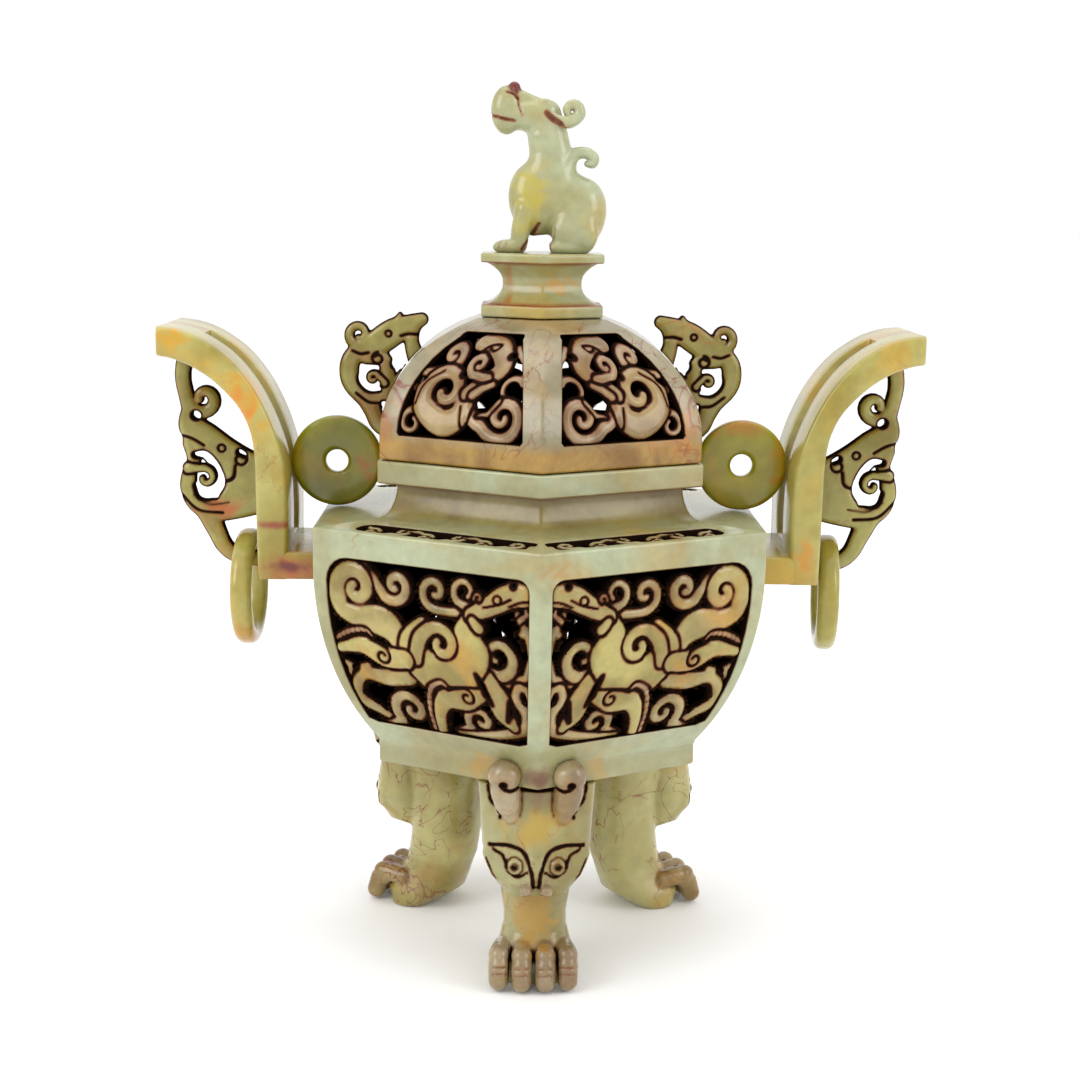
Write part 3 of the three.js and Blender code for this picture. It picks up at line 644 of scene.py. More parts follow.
VESSEL = Vessel()
FRONT_FACES = ((240.0, 1), (300.0, -1))
BACK_FACES = ((120.0, -1), (60.0, 1))
ALL_FACES = tuple(range(0, 360, 60))
CORNER_STEPS = (-30.0, -10.0, 10.0, 30.0)
TAN_30 = math.tan(math.radians(30))


def on_face(angle: float, hand: int, half_at: Callable) -> Callable[[np.ndarray], np.ndarray]:
    """Returns a function that wraps flat u, v, w onto an upright face of the hexagon.

    Args:
        angle: The direction that the face looks in, in degrees.
        hand: 1 where u runs counter-clockwise, -1 where the drawing is mirrored.
        half_at: The half width of the outside at a height.
    """
    outward = np.array([math.cos(math.radians(angle)), math.sin(math.radians(angle)), 0])
    along = np.array([-outward[1], outward[0], 0]) * hand

    def place(points: np.ndarray) -> np.ndarray:
        out = half_at(points[:, 1]) + points[:, 2]
        return points[:, :1] * along + out[:, None] * outward + points[:, 1:2] * np.array([0, 0, 1])

    return place


def filleted(profile: Stroke, radius: float, steps: int = 3) -> list[Point]:
    """Returns a closed outline of [half, z] with its corners rounded.

    Args:
        profile: The outline. A third value gives a corner a radius of its own.
        radius: The radius of the other corners.
        steps: How many edges each rounding has.
    """
    rows = [np.array(p[:2], float) for p in profile]
    done = []
    for n, row in enumerate(rows):
        if row[0] == 0:
            done.append(tuple(row))
            continue
        before, after = rows[n - 1] - row, rows[(n + 1) % len(rows)] - row
        size = profile[n][2] if len(profile[n]) > 2 else radius
        cut = min(size, 0.45 * np.linalg.norm(before), 0.45 * np.linalg.norm(after))
        if cut < 0.02:
            done.append(tuple(row))
            continue
        first = row + before / np.linalg.norm(before) * cut
        last = row + after / np.linalg.norm(after) * cut
        for t in np.arange(steps + 1) / steps:
            done.append(tuple((1 - t) ** 2 * first + 2 * t * (1 - t) * row + t * t * last))
    return done


def hex_ring(half: float, z: float, corner: float) -> np.ndarray:
    """Returns the points of a hexagon with rounded corners, four to each corner."""
    points = []
    for face in ALL_FACES:
        middle = (half - corner) / math.cos(math.radians(30))
        for step in CORNER_STEPS:
            turn, place = math.radians(face + 30 + step), math.radians(face + 30)
            points.append([
                middle * math.cos(place) + corner * math.cos(turn),
                middle * math.sin(place) + corner * math.sin(turn), z,
            ])
    return np.array(points)


def hex_turning(outline: Stroke, corner: float = 1.1, skip: Callable[[int, int], bool] | None = None) -> Shape:
    """Returns a six-sided turning of an outline of [half, z] that starts and ends on the axis.

    Args:
        outline: The outline, from the bottom on the axis, outside first.
        corner: The radius of the upright corners.
        skip: Says which quads to leave out, from the row and the column.
    """
    rings = [hex_ring(half, z, min(corner, 0.4 * half)) for half, z in outline[1:-1]]
    count = len(rings[0])
    faces = []
    for row in range(len(rings) - 1):
        for column in range(count):
            if skip is not None and skip(row, column):
                continue
            right = (column + 1) % count
            faces.append([row * count + column, row * count + right, (row + 1) * count + right,
                          (row + 1) * count + column])
    first, top = len(rings) * count, (len(rings) - 1) * count
    for column in range(count):
        right = (column + 1) % count
        faces += [[first, right, column], [first + 1, top + column, top + right]]
    ends = [[0, 0, outline[0][1]], [0, 0, outline[-1][1]]]
    return Shape.plain(np.vstack([*rings, ends]), faces)


def within(points: np.ndarray, outline: np.ndarray) -> np.ndarray:
    """Says which points lie inside a closed outline."""
    inside = np.zeros(len(points), bool)
    for a, b in zip(outline, np.roll(outline, -1, axis=0)):
        crosses = (a[1] > points[:, 1]) != (b[1] > points[:, 1])
        x = a[0] + (points[:, 1] - a[1]) * (b[0] - a[0]) / (b[1] - a[1] + 1e-12)
        inside ^= crosses & (points[:, 0] < x)
    return inside


def holed_sheet(boundary: np.ndarray, hole: np.ndarray, levels: Sequence[float]) -> tuple[np.ndarray, np.ndarray]:
    """Fills the area between a boundary and a hole with triangles.

    Args:
        boundary: The outer outline of [u, v].
        hole: The outline of the hole.
        levels: Values of v at which points are added, so that the sheet can bend.

    Returns:
        The points, with the boundary's first and the hole's next, and the triangles.
    """
    extra = []
    for v in levels:
        for u in np.linspace(boundary[:, 0].min(), boundary[:, 0].max(), 15)[1:-1]:
            extra.append([u, v])
    extra = np.array(extra).reshape(-1, 2)
    keep = within(extra, boundary) & ~within(extra, hole)
    for outline in (boundary, hole):
        closed = np.vstack([outline, outline[:1]])
        for a, b in zip(closed, closed[1:]):
            along = b - a
            share = np.clip(((extra - a) @ along) / max(along @ along, 1e-9), 0, 1)
            keep &= np.linalg.norm(extra - a - share[:, None] * along, axis=1) > 1.4
    points = np.vstack([boundary, hole, extra[keep]])
    first, second = len(boundary), len(boundary) + len(hole)
    edges = [(n, (n + 1) % first) for n in range(first)]
    edges += [(n, n + 1 if n + 1 < second else first) for n in range(first, second)]
    result = delaunay_2d_cdt([Vector(p) for p in points], edges, [], 0, 1e-5)
    made = np.array([tuple(v) for v in result[0]])
    order = np.array([np.argmin(np.linalg.norm(points - p, axis=1)) for p in made])
    triangles = order[np.array(result[2])]
    middle = points[triangles].mean(axis=1)
    return points, triangles[within(middle, boundary) & ~within(middle, hole)]


def inset(outline: np.ndarray, amount: float) -> np.ndarray:
    """Returns an outline that runs counter-clockwise, moved inwards."""
    along = np.roll(outline, -1, axis=0) - np.roll(outline, 1, axis=0)
    along /= np.linalg.norm(along, axis=1)[:, None]
    return outline + amount * np.column_stack([-along[:, 1], along[:, 0]])


def opening_walls(outline: np.ndarray, back: float, bevel: float, place: Callable, stain: float) -> Shape:
    """Returns the bevelled walls of an opening, from the outer face to the inner.

    Args:
        outline: The opening's outline, counter-clockwise.
        back: The depth of the inner face.
        bevel: The width of the bevel at the outer edge.
        place: Wraps u, v, w onto the vessel.
        stain: How dark the painted shade on the walls is.
    """
    narrow = inset(outline, bevel)
    # The walls get painted shade that deepens from the outer edge inwards.
    rows = [(outline, 0.0, 0.0), (inset(outline, bevel * 0.3), -bevel * 0.3, 0.2), (narrow, -bevel, 0.9),
            (narrow, -bevel * 2.2, 1.0), (narrow, -back, 1.0)]
    vertices = np.vstack([np.column_stack([line, np.full(len(line), w)]) for line, w, _ in rows])
    count = len(outline)
    faces = []
    for row in range(len(rows) - 1):
        for n in range(count):
            following = (n + 1) % count
            faces.append([row * count + n, row * count + following, (row + 1) * count + following,
                          (row + 1) * count + n])
    shape = Shape.plain(place(vertices), faces)
    shape.stain = np.concatenate([np.full(count, dark * stain) for *_, dark in rows])
    return shape


class Graph:
    """Short calls for wiring a node tree."""

    def __init__(self, tree: bpy.types.NodeTree) -> None:
        """Starts on a tree, and keeps it."""
        self.tree = tree

    def node(self, kind: str, inputs: dict | None = None, **settings: object) -> bpy.types.Node:
        """Adds a node.

        Args:
            kind: The node's type.
            inputs: Values or sockets for its inputs, by name or number.
            settings: Its other settings.
        """
        made = self.tree.nodes.new(kind)
        for name, value in settings.items():
            setattr(made, name, value)
        for key, value in (inputs or {}).items():
            self.feed(made.inputs[key], value)
        return made

    def feed(self, socket: bpy.types.NodeSocket, value: object) -> None:
        """Sets an input to a value, or joins it to an output."""
        if isinstance(value, bpy.types.NodeSocket):
            self.tree.links.new(value, socket)
        else:
            socket.default_value = value

    def math(self, operation: str, first: object, second: object = 0.0, clamp: bool = False) -> bpy.types.NodeSocket:
        """Returns the result of a sum."""
        made = self.node("ShaderNodeMath", {0: first, 1: second}, operation=operation, use_clamp=clamp)
        return made.outputs[0]

    def band(self, value: object, low: float, high: float) -> bpy.types.NodeSocket:
        """Returns a smooth step of a value from low to high."""
        made = self.node("ShaderNodeMapRange", {0: value, 1: low, 2: high}, interpolation_type="SMOOTHSTEP")
        return made.outputs[0]

    def mix(self, share: object, first: object, second: object, blend: str = "MIX") -> bpy.types.NodeSocket:
        """Returns a mix of two colours."""
        made = self.node("ShaderNodeMix", data_type="RGBA", blend_type=blend)
        for key, value in ((0, share), (6, first), (7, second)):
            self.feed(made.inputs[key], value)
        return made.outputs[2]

    def noise(self, vector: object, scale: object, detail: float = 3.0, twist: float = 0.0,
              part: str = "Fac") -> bpy.types.NodeSocket:
        """Returns the value or the colour of a noise."""
        inputs = {"Vector": vector, "Scale": scale, "Detail": detail, "Distortion": twist}
        return self.node("ShaderNodeTexNoise", inputs).outputs[part]

    def call(self, group: bpy.types.NodeTree, inputs: dict) -> bpy.types.NodeSocket:
        """Returns the output of a node group whose inputs are fed by name."""
        made = self.tree.nodes.new("ShaderNodeGroup")
        made.node_tree = group
        for key, value in inputs.items():
            self.feed(made.inputs[key], value)
        return made.outputs[0]


def shader_group(name: str, inputs: dict, output: tuple[str, str]) -> tuple[Graph, dict, bpy.types.Node]:
    """Starts a shader node group.

    Args:
        name: The name of the group.
        inputs: The kind of socket for each named input.
        output: The name and the kind of socket of its output.

    Returns:
        The graph, the inputs by name and the node that takes the output.
    """
    tree = bpy.data.node_groups.new(name, "ShaderNodeTree")
    kinds = {"color": "NodeSocketColor", "float": "NodeSocketFloat", "vector": "NodeSocketVector"}
    for label, kind in inputs.items():
        tree.interface.new_socket(label, in_out="INPUT", socket_type=kinds[kind])
    tree.interface.new_socket(output[0], in_out="OUTPUT", socket_type=kinds[output[1]])
    graph = Graph(tree)
    entry = graph.node("NodeGroupInput")
    return graph, {label: entry.outputs[label] for label in inputs}, graph.node("NodeGroupOutput")


def mottle_group() -> bpy.types.NodeTree:
    """Returns the group that clouds a stone with three tints."""
    inputs = {"Pale": "color", "Deep": "color", "Warm": "color", "Scale": "float", "Warmth": "float"}
    graph, given, out = shader_group("clouded stone", inputs, ("Color", "color"))
    place = graph.node("ShaderNodeTexCoord").outputs["Object"]
    broad = graph.band(graph.noise(place, given["Scale"], 4.0, 0.6), 0.36, 0.66)
    shifted = graph.node("ShaderNodeMapping", {"Vector": place, "Location": (0.31, 0.17, 0.05)}).outputs[0]
    warm = graph.band(graph.noise(shifted, given["Scale"], 5.0, 1.2), 0.5, 0.72)
    fine = graph.noise(place, graph.math("MULTIPLY", given["Scale"], 11.0), 4.0)
    colour = graph.mix(broad, given["Pale"], given["Deep"])
    colour = graph.mix(graph.math("MULTIPLY", warm, given["Warmth"]), colour, given["Warm"])
    grain = graph.node("ShaderNodeMapRange", {0: fine, 1: 0.3, 2: 0.7, 3: 0.9, 4: 1.08}).outputs[0]
    scaled = graph.node("ShaderNodeVectorMath", {0: colour, "Scale": grain}, operation="SCALE").outputs[0]
    graph.feed(out.inputs[0], scaled)
    return graph.tree


def vein_group() -> bpy.types.NodeTree:
    """Returns the group that masks thin wandering veins, only in some places."""
    inputs = {"Scale": "float", "Width": "float", "Spread": "float", "Shift": "vector"}
    graph, given, out = shader_group("rust veins", inputs, ("Mask", "float"))
    place = graph.node("ShaderNodeTexCoord").outputs["Object"]
    moved = graph.node("ShaderNodeVectorMath", {0: place, 1: given["Shift"]}, operation="ADD").outputs[0]
    value = graph.noise(moved, given["Scale"], 3.5, 1.6)
    away = graph.math("ABSOLUTE", graph.math("SUBTRACT", value, 0.5))
    thin = graph.math("SUBTRACT", 1.0, graph.math("DIVIDE", away, given["Width"]), clamp=True)
    region = graph.noise(moved, graph.math("MULTIPLY", given["Scale"], 0.55), 2.0, 0.4)
    where = graph.math("SUBTRACT", region, graph.math("SUBTRACT", 1.0, given["Spread"]))
    chosen = graph.band(where, 0.0, 0.12)
    graph.feed(out.inputs[0], graph.math("MULTIPLY", graph.math("POWER", thin, 1.6), chosen))
    return graph.tree


def cut_group() -> bpy.types.NodeTree:
    """Returns the group that masks the dark staining of engraved lines and the painted shade in hollows, cut walls and
    insides.
    """
    graph, given, out = shader_group("stain in the cuts", {"Strength": "float"}, ("Mask", "float"))
    painted = graph.node("ShaderNodeAttribute", attribute_name="stain").outputs["Fac"]
    place = graph.node("ShaderNodeTexCoord").outputs["Object"]
    uneven = graph.node("ShaderNodeMapRange", {0: graph.noise(place, 260.0, 3.0), 1: 0.25, 2: 0.75, 3: 0.8, 4: 1.2})
    mask = graph.math("MULTIPLY", graph.math("MULTIPLY", painted, uneven.outputs[0]), given["Strength"], clamp=True)
    graph.feed(out.inputs[0], mask)
    return graph.tree


def patch_group() -> bpy.types.NodeTree:
    """Returns the group that masks a ragged patch at a place, in metres."""
    inputs = {"Centre": "vector", "Radii": "vector", "Rag": "float"}
    graph, given, out = shader_group("ragged patch", inputs, ("Mask", "float"))
    place = graph.node("ShaderNodeTexCoord").outputs["Object"]
    away = graph.node("ShaderNodeVectorMath", {0: place, 1: given["Centre"]}, operation="SUBTRACT").outputs[0]
    scaled = graph.node("ShaderNodeVectorMath", {0: away, 1: given["Radii"]}, operation="DIVIDE").outputs[0]
    length = graph.node("ShaderNodeVectorMath", {0: scaled}, operation="LENGTH").outputs["Value"]
    uneven = graph.noise(place, 110.0, 6.0, 1.4)
    ragged = graph.math("MULTIPLY", graph.math("SUBTRACT", uneven, 0.5), given["Rag"])
    graph.feed(out.inputs[0], graph.band(graph.math("ADD", length, ragged), 1.15, 0.1))
    return graph.tree


@dataclass(frozen=True)
class Patch:
    """A coloured patch of the stone, at a place in millimetres."""

    centre: Point
    radii: Point
    color: Point
    strength: float = 0.8
    rag: float = 3.0


@dataclass(frozen=True)
class StoneFinish:
    """One stone finish: its clouding, second tint, veins, patches, staining with painted shade, and polish."""

    name: str
    pale: Point
    deep: Point
    warm: Point
    warmth: float = 0.5
    cloud_scale: float = 26.0
    second_pale: Point = (0.30, 0.20, 0.09)
    second_deep: Point = (0.20, 0.12, 0.05)
    vein: Point = (0.28, 0.09, 0.01)
    vein_scale: float = 24.0
    vein_width: float = 0.012
    vein_spread: float = 0.48
    vein_strength: float = 0.7
    halo: Point = (0.20, 0.075, 0.022)
    # The dark colour of the staining in engraved lines and of the painted shade in hollows and insides.
    dark: Point = (0.012, 0.006, 0.004)
    stain_and_shade_strength: float = 1.0
    roughness: float = 0.24
    patches: tuple[Patch, ...] = ()

    def material(self, groups: dict[str, bpy.types.NodeTree]) -> bpy.types.Material:
        """Returns the material.

        Args:
            groups: The shared node groups, by name.
        """
        made = bpy.data.materials.new(self.name)
        made.use_nodes = True
        made.node_tree.nodes.clear()
        graph = Graph(made.node_tree)
        opaque = {k: (*getattr(self, k), 1.0) for k in
                  ("pale", "deep", "warm", "second_pale", "second_deep", "vein", "halo", "dark")}
        first = graph.call(groups["mottle"], {"Pale": opaque["pale"], "Deep": opaque["deep"],
                                              "Warm": opaque["warm"], "Scale": self.cloud_scale,
                                              "Warmth": self.warmth})
        second = graph.call(groups["mottle"], {"Pale": opaque["second_pale"], "Deep": opaque["second_deep"],
                                               "Warm": opaque["warm"], "Scale": self.cloud_scale * 2.2,
                                               "Warmth": self.warmth * 0.5})
        tone = graph.node("ShaderNodeAttribute", attribute_name="tone").outputs["Fac"]
        colour = graph.mix(tone, first, second)
        for patch in self.patches:
            mask = graph.call(groups["patch"], {"Centre": [v * MM for v in patch.centre],
                                                "Radii": [v * MM for v in patch.radii], "Rag": patch.rag})
            colour = graph.mix(graph.math("MULTIPLY", mask, patch.strength), colour, (*patch.color, 1.0))
        for scale, width, shift in ((1.0, 1.0, (0.0, 0.0, 0.0)), (2.1, 1.3, (0.4, 0.2, 0.7))):
            veins = graph.call(groups["vein"], {"Scale": self.vein_scale * scale, "Width": self.vein_width * width,
                                                "Spread": self.vein_spread, "Shift": shift})
            colour = graph.mix(graph.math("MULTIPLY", veins, self.vein_strength), colour, opaque["vein"])
        cuts = graph.call(groups["cut"], {"Strength": self.stain_and_shade_strength})
        colour = graph.mix(graph.math("MULTIPLY", graph.band(cuts, 0.02, 0.4), 0.75), colour, opaque["halo"])
        # Darkest where the engraved lines are stained and where shade is painted into hollows and insides.
        colour = graph.mix(graph.band(cuts, 0.22, 0.7), colour, opaque["dark"])
        place = graph.node("ShaderNodeTexCoord").outputs["Object"]
        smear = graph.math("MULTIPLY", graph.noise(place, 45.0, 4.0), 0.14)
        rough = graph.math("ADD", graph.math("ADD", smear, self.roughness - 0.07), graph.math("MULTIPLY", cuts, 0.35))
        ripple = graph.node("ShaderNodeBump", {"Strength": 0.05, "Distance": 0.0006,
                                               "Height": graph.noise(place, 160.0, 4.0)})
        bare = graph.math("SUBTRACT", 1.0, graph.band(cuts, 0.1, 0.6))
        shader = graph.node("ShaderNodeBsdfPrincipled", {
            "Base Color": colour, "Roughness": rough, "Normal": ripple.outputs[0],
            "Specular IOR Level": graph.math("MULTIPLY", bare, 0.5),
            "Subsurface Weight": 0.12, "Subsurface Radius": (0.6, 0.5, 0.3), "Subsurface Scale": 0.004,
            "Coat Weight": graph.math("MULTIPLY", bare, 0.25), "Coat Roughness": 0.12,
        })
        out = graph.node("ShaderNodeOutputMaterial", {"Surface": shader.outputs[0]})
        out.is_active_output = True
        return made


def shared_groups() -> dict[str, bpy.types.NodeTree]:
    """Builds the node groups that every stone finish uses."""
    return {"mottle": mottle_group(), "vein": vein_group(), "cut": cut_group(), "patch": patch_group()}


@dataclass(frozen=True)
class Opening:
    """The opening of a pierced panel, as insets from the face's own edges."""

    bottom_z: float
    top_z: float
    left_low: float
    left_high: float
    right: float
    left_round: float
    right_round: float

    def outline(self, half_at: Callable) -> np.ndarray:
        """Returns the outline of [u, z], counter-clockwise.

        Args:
            half_at: The half width of the vessel at a height.
        """
        def left(z: float) -> float:
            share = (z - self.bottom_z) / (self.top_z - self.bottom_z)
            return -float(half_at(np.array(z))) / math.sqrt(3) + self.left_low + (self.left_high - self.left_low) * share

        def right(z: float) -> float:
            return float(half_at(np.array(z))) / math.sqrt(3) - self.right

        low, high = self.bottom_z, self.top_z
        rows = [(left(low) + self.right_round * 0.7, low)]
        rows += [(right(low) - self.right_round * 0.7, low)]
        steps = 9
        for n in range(steps + 1):
            z = low + 1.2 + (high - self.right_round - low - 1.2) * n / steps
            rows.append((right(z), z))
        for n in range(1, 5):
            turn = math.radians(90 * n / 4)
            middle = right(high - self.right_round) - self.right_round
            rows.append((middle + self.right_round * math.cos(turn), high - self.right_round * (1 - math.sin(turn))))
        for n in range(6):
            turn = math.radians(90 + 90 * n / 5)
            middle = left(high - self.left_round) + self.left_round
            rows.append((middle + self.left_round * math.cos(turn), high - self.left_round * (1 - math.sin(turn))))
        for n in range(1, steps + 1):
            z = high - self.left_round + (low + 1.2 - high + self.left_round) * n / steps
            rows.append((left(z), z))
        return np.array(rows)


BODY_OPENING = Opening(75.0, 127.3, 2.7, 4.5, 3.5, 7.5, 4.0)
LID_OPENING = Opening(160.6, 190.9, 5.6, 5.8, 6.2, 1.5, 1.5)


def body_panel(plain: bool) -> Relief:
    """Draws the dragon of a large panel, u toward the arris and v up.

    Args:
        plain: Whether it is a back panel, which has wider strokes and fewer fine lines.
    """
    art = Relief((-37, 73), (37.5, 129.5), 0.62 if plain else 0.5)
    art.lay([[(29.4, 116.5, 3.0), (32.6, 111, 3.4), (33.2, 104, 3.4), (30.5, 98, 3.2), (24, 95.2, 3.2)],
             [(30.5, 111, 3), (35.5, 112, 3.5)]], -1.5, 0.9)
    art.lay([[(31, 121.5, 2.6), (32.4, 117, 2.6), (29.5, 114.4, 2.2)]], -1.7, 0.9)
    art.lay([curl((22.3, 103.6), -95, 0.95, (6.3, 1.6), (4.6, 2.6), [(12, 100.5, 8), (17, 98.2, 6)])], -0.9, 0.55)
    art.lay([curl((-10.3, 120.6), 226, 1.12, (5.3, 1.0), (4.2, 3.0),
                  [(-21, 125.2, 3.0), (-17.4, 121.4, 3.6)])], -0.5, 0.75)
    art.lay([curl((3.0, 120.3), 285, -1.08, (5.5, 1.0), (3.6, 2.8), [(16.5, 116.6, 3.4), (9.5, 115.1, 3.6)])],
            -0.5, 0.75)
    art.lay([curl((12.7, 121.5), 235, -0.8, (4.0, 1.8), (3.2, 2.2), [(17.5, 116.0, 3.2)])], -0.6, 0.8)
    art.lay([curl((-24.0, 118.5), 206, -1.22, (7.2, 1.0), (6.4, 3.4)),
             flowing([(-30.5, 115.2, 6.2), (-28.8, 111.6, 6.4), (-23, 109.6, 7.6), (-16, 109.4, 10.2),
                      (-11.6, 106.6, 8.4), (-9.4, 101.5, 6)])], -0.25, 0.35)
    art.lay([flowing([(-9, 92.6, 6), (-17, 91.4, 6.2), (-24.5, 91.4, 4.4), (-28.6, 87.4, 4.6), (-28.3, 82.4, 4.8),
                      (-23.2, 79.8, 4.4), (-19, 77, 3)]),
             [(-24.6, 93.6, 3.4), (-22.8, 94.6, 2.6)]], -0.7, 0.5)
    art.lay([[(-32.6, 95.2, 2.8), (-29.6, 93.4, 3.2), (-31, 90, 2.4)]], -1.2, 0.9)
    art.lay([curl((-10.8, 81.7), 222, -1.2, (6.6, 0.9), (4.4, 2.8), [(-26, 74.5, 2.6), (-20, 75.4, 3)])], -0.5, 0.75)
    art.lay([curl((12.6, 81.6), 215, -0.98, (5.0, 1.0), (3.6, 2.8), [(3, 76.5, 2.4)])], -0.7, 0.8)
    art.lay([flowing([(30.5, 91.4, 2.0), (30.2, 94.3, 3.0), (27.6, 94.6, 3.4), (26.2, 90.8, 3.6), (28.4, 86.6, 4.4),
                      (27.4, 81.8, 4.6), (21.6, 78.8, 4.2), (12, 76.6, 3.4), (4, 76.2, 2.4)])], -0.9, 0.8)
    art.lay([flowing([(17.6, 95.6, 8), (20.6, 89.6, 8.6), (21.4, 85.2, 7.4), (23.6, 81.6, 4)])], -0.4, 0.3)
    art.lay([flowing([(-1.6, 110.4, 5), (-5.8, 106, 6.4), (-4.6, 99.6, 11), (1.6, 95.4, 13.4), (9.4, 98, 13.6),
                      (14.6, 103.6, 11.6), (12.4, 109.4, 7.6), (15.6, 114.4, 6)]),
             flowing([(12, 93, 8), (7, 91.6, 7), (-2, 93, 6)])], -0.15, 0.1)
    art.lay([curl((4.4, 105.0), 130, -0.94, (5.6, 1.4), (4.6, 3.2), [(-4.6, 99.5, 5), (-2.6, 105.8, 5)])], 0.0, 0.25)
    art.lay([flowing([(15.2, 115.2, 5.0), (21.4, 118.4, 6.6), (27.6, 121.8, 7.6), (33.4, 121.6, 5.0)]),
             [(29, 124.6, 4), (33, 124.2, 3.4)]], -0.1, 0.4)
    art.lay([flowing([(15.8, 113.6, 3.4), (17.4, 111.4, 4.0)])], 0.0, 0.3)
    art.lay([curl((17.7, 120.2), 200, -0.9, (1.7, 0.3), (1.6, 1.6))], 0.1, 0.8)
    art.lay([flowing([(15.2, 90.6, 5), (9, 88.4, 8), (2.8, 87.4, 6.8), (-0.6, 82.6, 5), (-2.4, 75, 4.4)])], -0.1, 0.2)
    art.lay([flowing([(4.4, 92.0, 1.6), (2.4, 93.0, 2.2), (-1.8, 90.2, 2.4), (-3.8, 84.2, 2.4), (-4.4, 76, 2.2)])],
            -0.2, 0.95)
    art.lay([flowing([(-8.6, 98.6, 7), (-15.6, 98.4, 7.6), (-22.6, 101.0, 6.4), (-28.4, 100.0, 4.4),
                      (-33.8, 98.6, 3.4)])], -0.05, 0.2)
    art.lay([flowing([(-19.4, 104.4, 1.6), (-21.4, 106.0, 2.4), (-27, 105.0, 2.6), (-33.4, 101.6, 2.2)])],
            -0.2, 0.95)
    for centre, turn in (((-16.1, 98.6), 60), ((10.6, 89.3), 100)):
        art.engrave(curl(centre, turn, -1.1, (2.9, 0.9), (0, 0)), 0.7)
    art.engrave(flowing([(-20.2, 103.4, 0), (-17, 102.4, 0), (-14.7, 101.2, 0)]))
    art.engrave(flowing([(4.4, 90.8, 0), (7, 91.6, 0), (9.6, 92.1, 0)]))
    art.cut([(15.2, 97.4, 0.6), (16.4, 94, 1.8), (18.4, 88.4, 0.9)])
    art.cut([(29.0, 125.2, 1.5), (29.2, 125.0, 1.5)])
    art.cut(flowing([(24.6, 90.2, 0.5), (24.0, 86.6, 1.1), (22.6, 83.4, 0.4)]))
    if plain:
        art.inside = art.inside - 0.55
        return art
    art.inside = art.inside - 0.3
    art.engrave(curl((24.0, 120.4), 20, 1.0, (1.4, 1.2), (0, 0)), 0.6, 0.36)
    art.engrave(flowing([(19.4, 117.8, 0), (22.4, 118.6, 0), (25, 119.4, 0), (28.4, 121.2, 0)]), 0.5, 0.36)
    art.engrave(flowing([(27.6, 118.9, 0), (31.4, 120.6, 0), (34.2, 121.0, 0)]), 0.5, 0.36)
    for n in range(7):
        share = n / 6
        art.engrave([(-21.6 - 10.5 * share, 107.0 - 3.4 * share, 0), (-20.8 - 10.5 * share, 104.4 - 3.2 * share, 0)],
                    0.35, 0.28, 0.55)
        art.engrave([(-5.0 + 2.4 * share**2, 78 + 13 * share, 0), (-3.0 + 2.6 * share**2, 77.6 + 13 * share, 0)],
                    0.35, 0.28, 0.55)
    return art


def lid_panel(plain: bool) -> Relief:
    """Draws the small dragon of a dome panel, u toward the arris and v up.

    Args:
        plain: Whether it is a back panel, which has wider strokes and fewer fine lines.
    """
    art = Relief((-24, 158.6), (24, 193), 0.5 if plain else 0.42)
    art.lay([curl((13.4, 175.6), 30, 0.7, (3.6, 2.4), (2.4, 2.0), [(19.6, 177, 2.4)]),
             [(10, 186.6, 2.6), (14.4, 183.4, 2.6), (17.6, 178.4, 2.4)]], -1.3, 0.9)
    art.lay([curl((-17.6, 164.9), 75, 0.95, (3.9, 1.4), (2.8, 2.0), [(-8, 168.8, 3), (-13.6, 169.2, 2.8)])],
            -0.7, 0.8)
    art.lay([curl((-9.4, 184.2), 262, 1.12, (4.1, 0.8), (3.4, 2.6), [(-17, 179.2, 3), (-13.4, 179.4, 3.2)])],
            -0.6, 0.7)
    art.lay([[(-22, 175.8, 2.4), (-17.6, 174.8, 2.8), (-15, 172, 3.6)]], -0.9, 0.8)
    art.lay([curl((13.0, 168.2), 205, 1.42, (7.4, 0.9), (4.6, 2.6),
                  [(0.4, 171.6, 4.4), (3.2, 167, 4.6)])], -0.2, 0.85)
    art.lay([[(5, 168.4, 1.6), (7.6, 168.6, 2.2), (11, 172.6, 2.4)]], -1.0, 0.9)
    art.lay([flowing([(-15.4, 174.6, 4.4), (-13.4, 169.4, 7.4), (-7, 165.4, 8.6), (-1.8, 167.4, 7.6),
                      (0.4, 172.6, 6)]),
             curl((-7.4, 174.6), 190, -0.95, (6.8, 1.8), (5.0, 3.2))], -0.1, 0.35)
    art.lay([flowing([(0, 174.4, 4.6), (3.6, 177.6, 4.2), (8.6, 181.6, 6.0), (4.6, 186.6, 6.0), (-2.4, 187.8, 4.8)])],
            -0.2, 0.45)
    art.lay([curl((0.6, 182.2), 250, -1.0, (3.2, 0.8), (3.0, 2.2), [(5.6, 178.6, 3.2)])], -0.1, 0.6)
    art.lay([[(2.2, 173.8, 3.2), (4.4, 175.6, 3.0), (7.6, 177.0, 2.4)]], 0.0, 0.5)
    art.cut([(-3.2, 179.2, 1.0), (-3.0, 178.9, 1.0)])
    art.cut([(9.9, 184.8, 1.1), (10.2, 184.6, 1.1)])
    if plain:
        art.inside = art.inside - 0.5
        return art
    art.engrave(flowing([(-1.6, 184.6, 0), (1.4, 187.2, 0), (5.0, 187.4, 0), (3.6, 185.8, 0), (1.6, 186.6, 0)]),
                0.5, 0.36)
    art.engrave(flowing([(-16.4, 170.4, 0), (-14.6, 176.4, 0), (-9.4, 180.0, 0)]), 0.5, 0.36)
    art.engrave(flowing([(-0.8, 170.6, 0), (-0.4, 165.6, 0), (0.4, 162.4, 0)]), 0.5, 0.36)
    return art


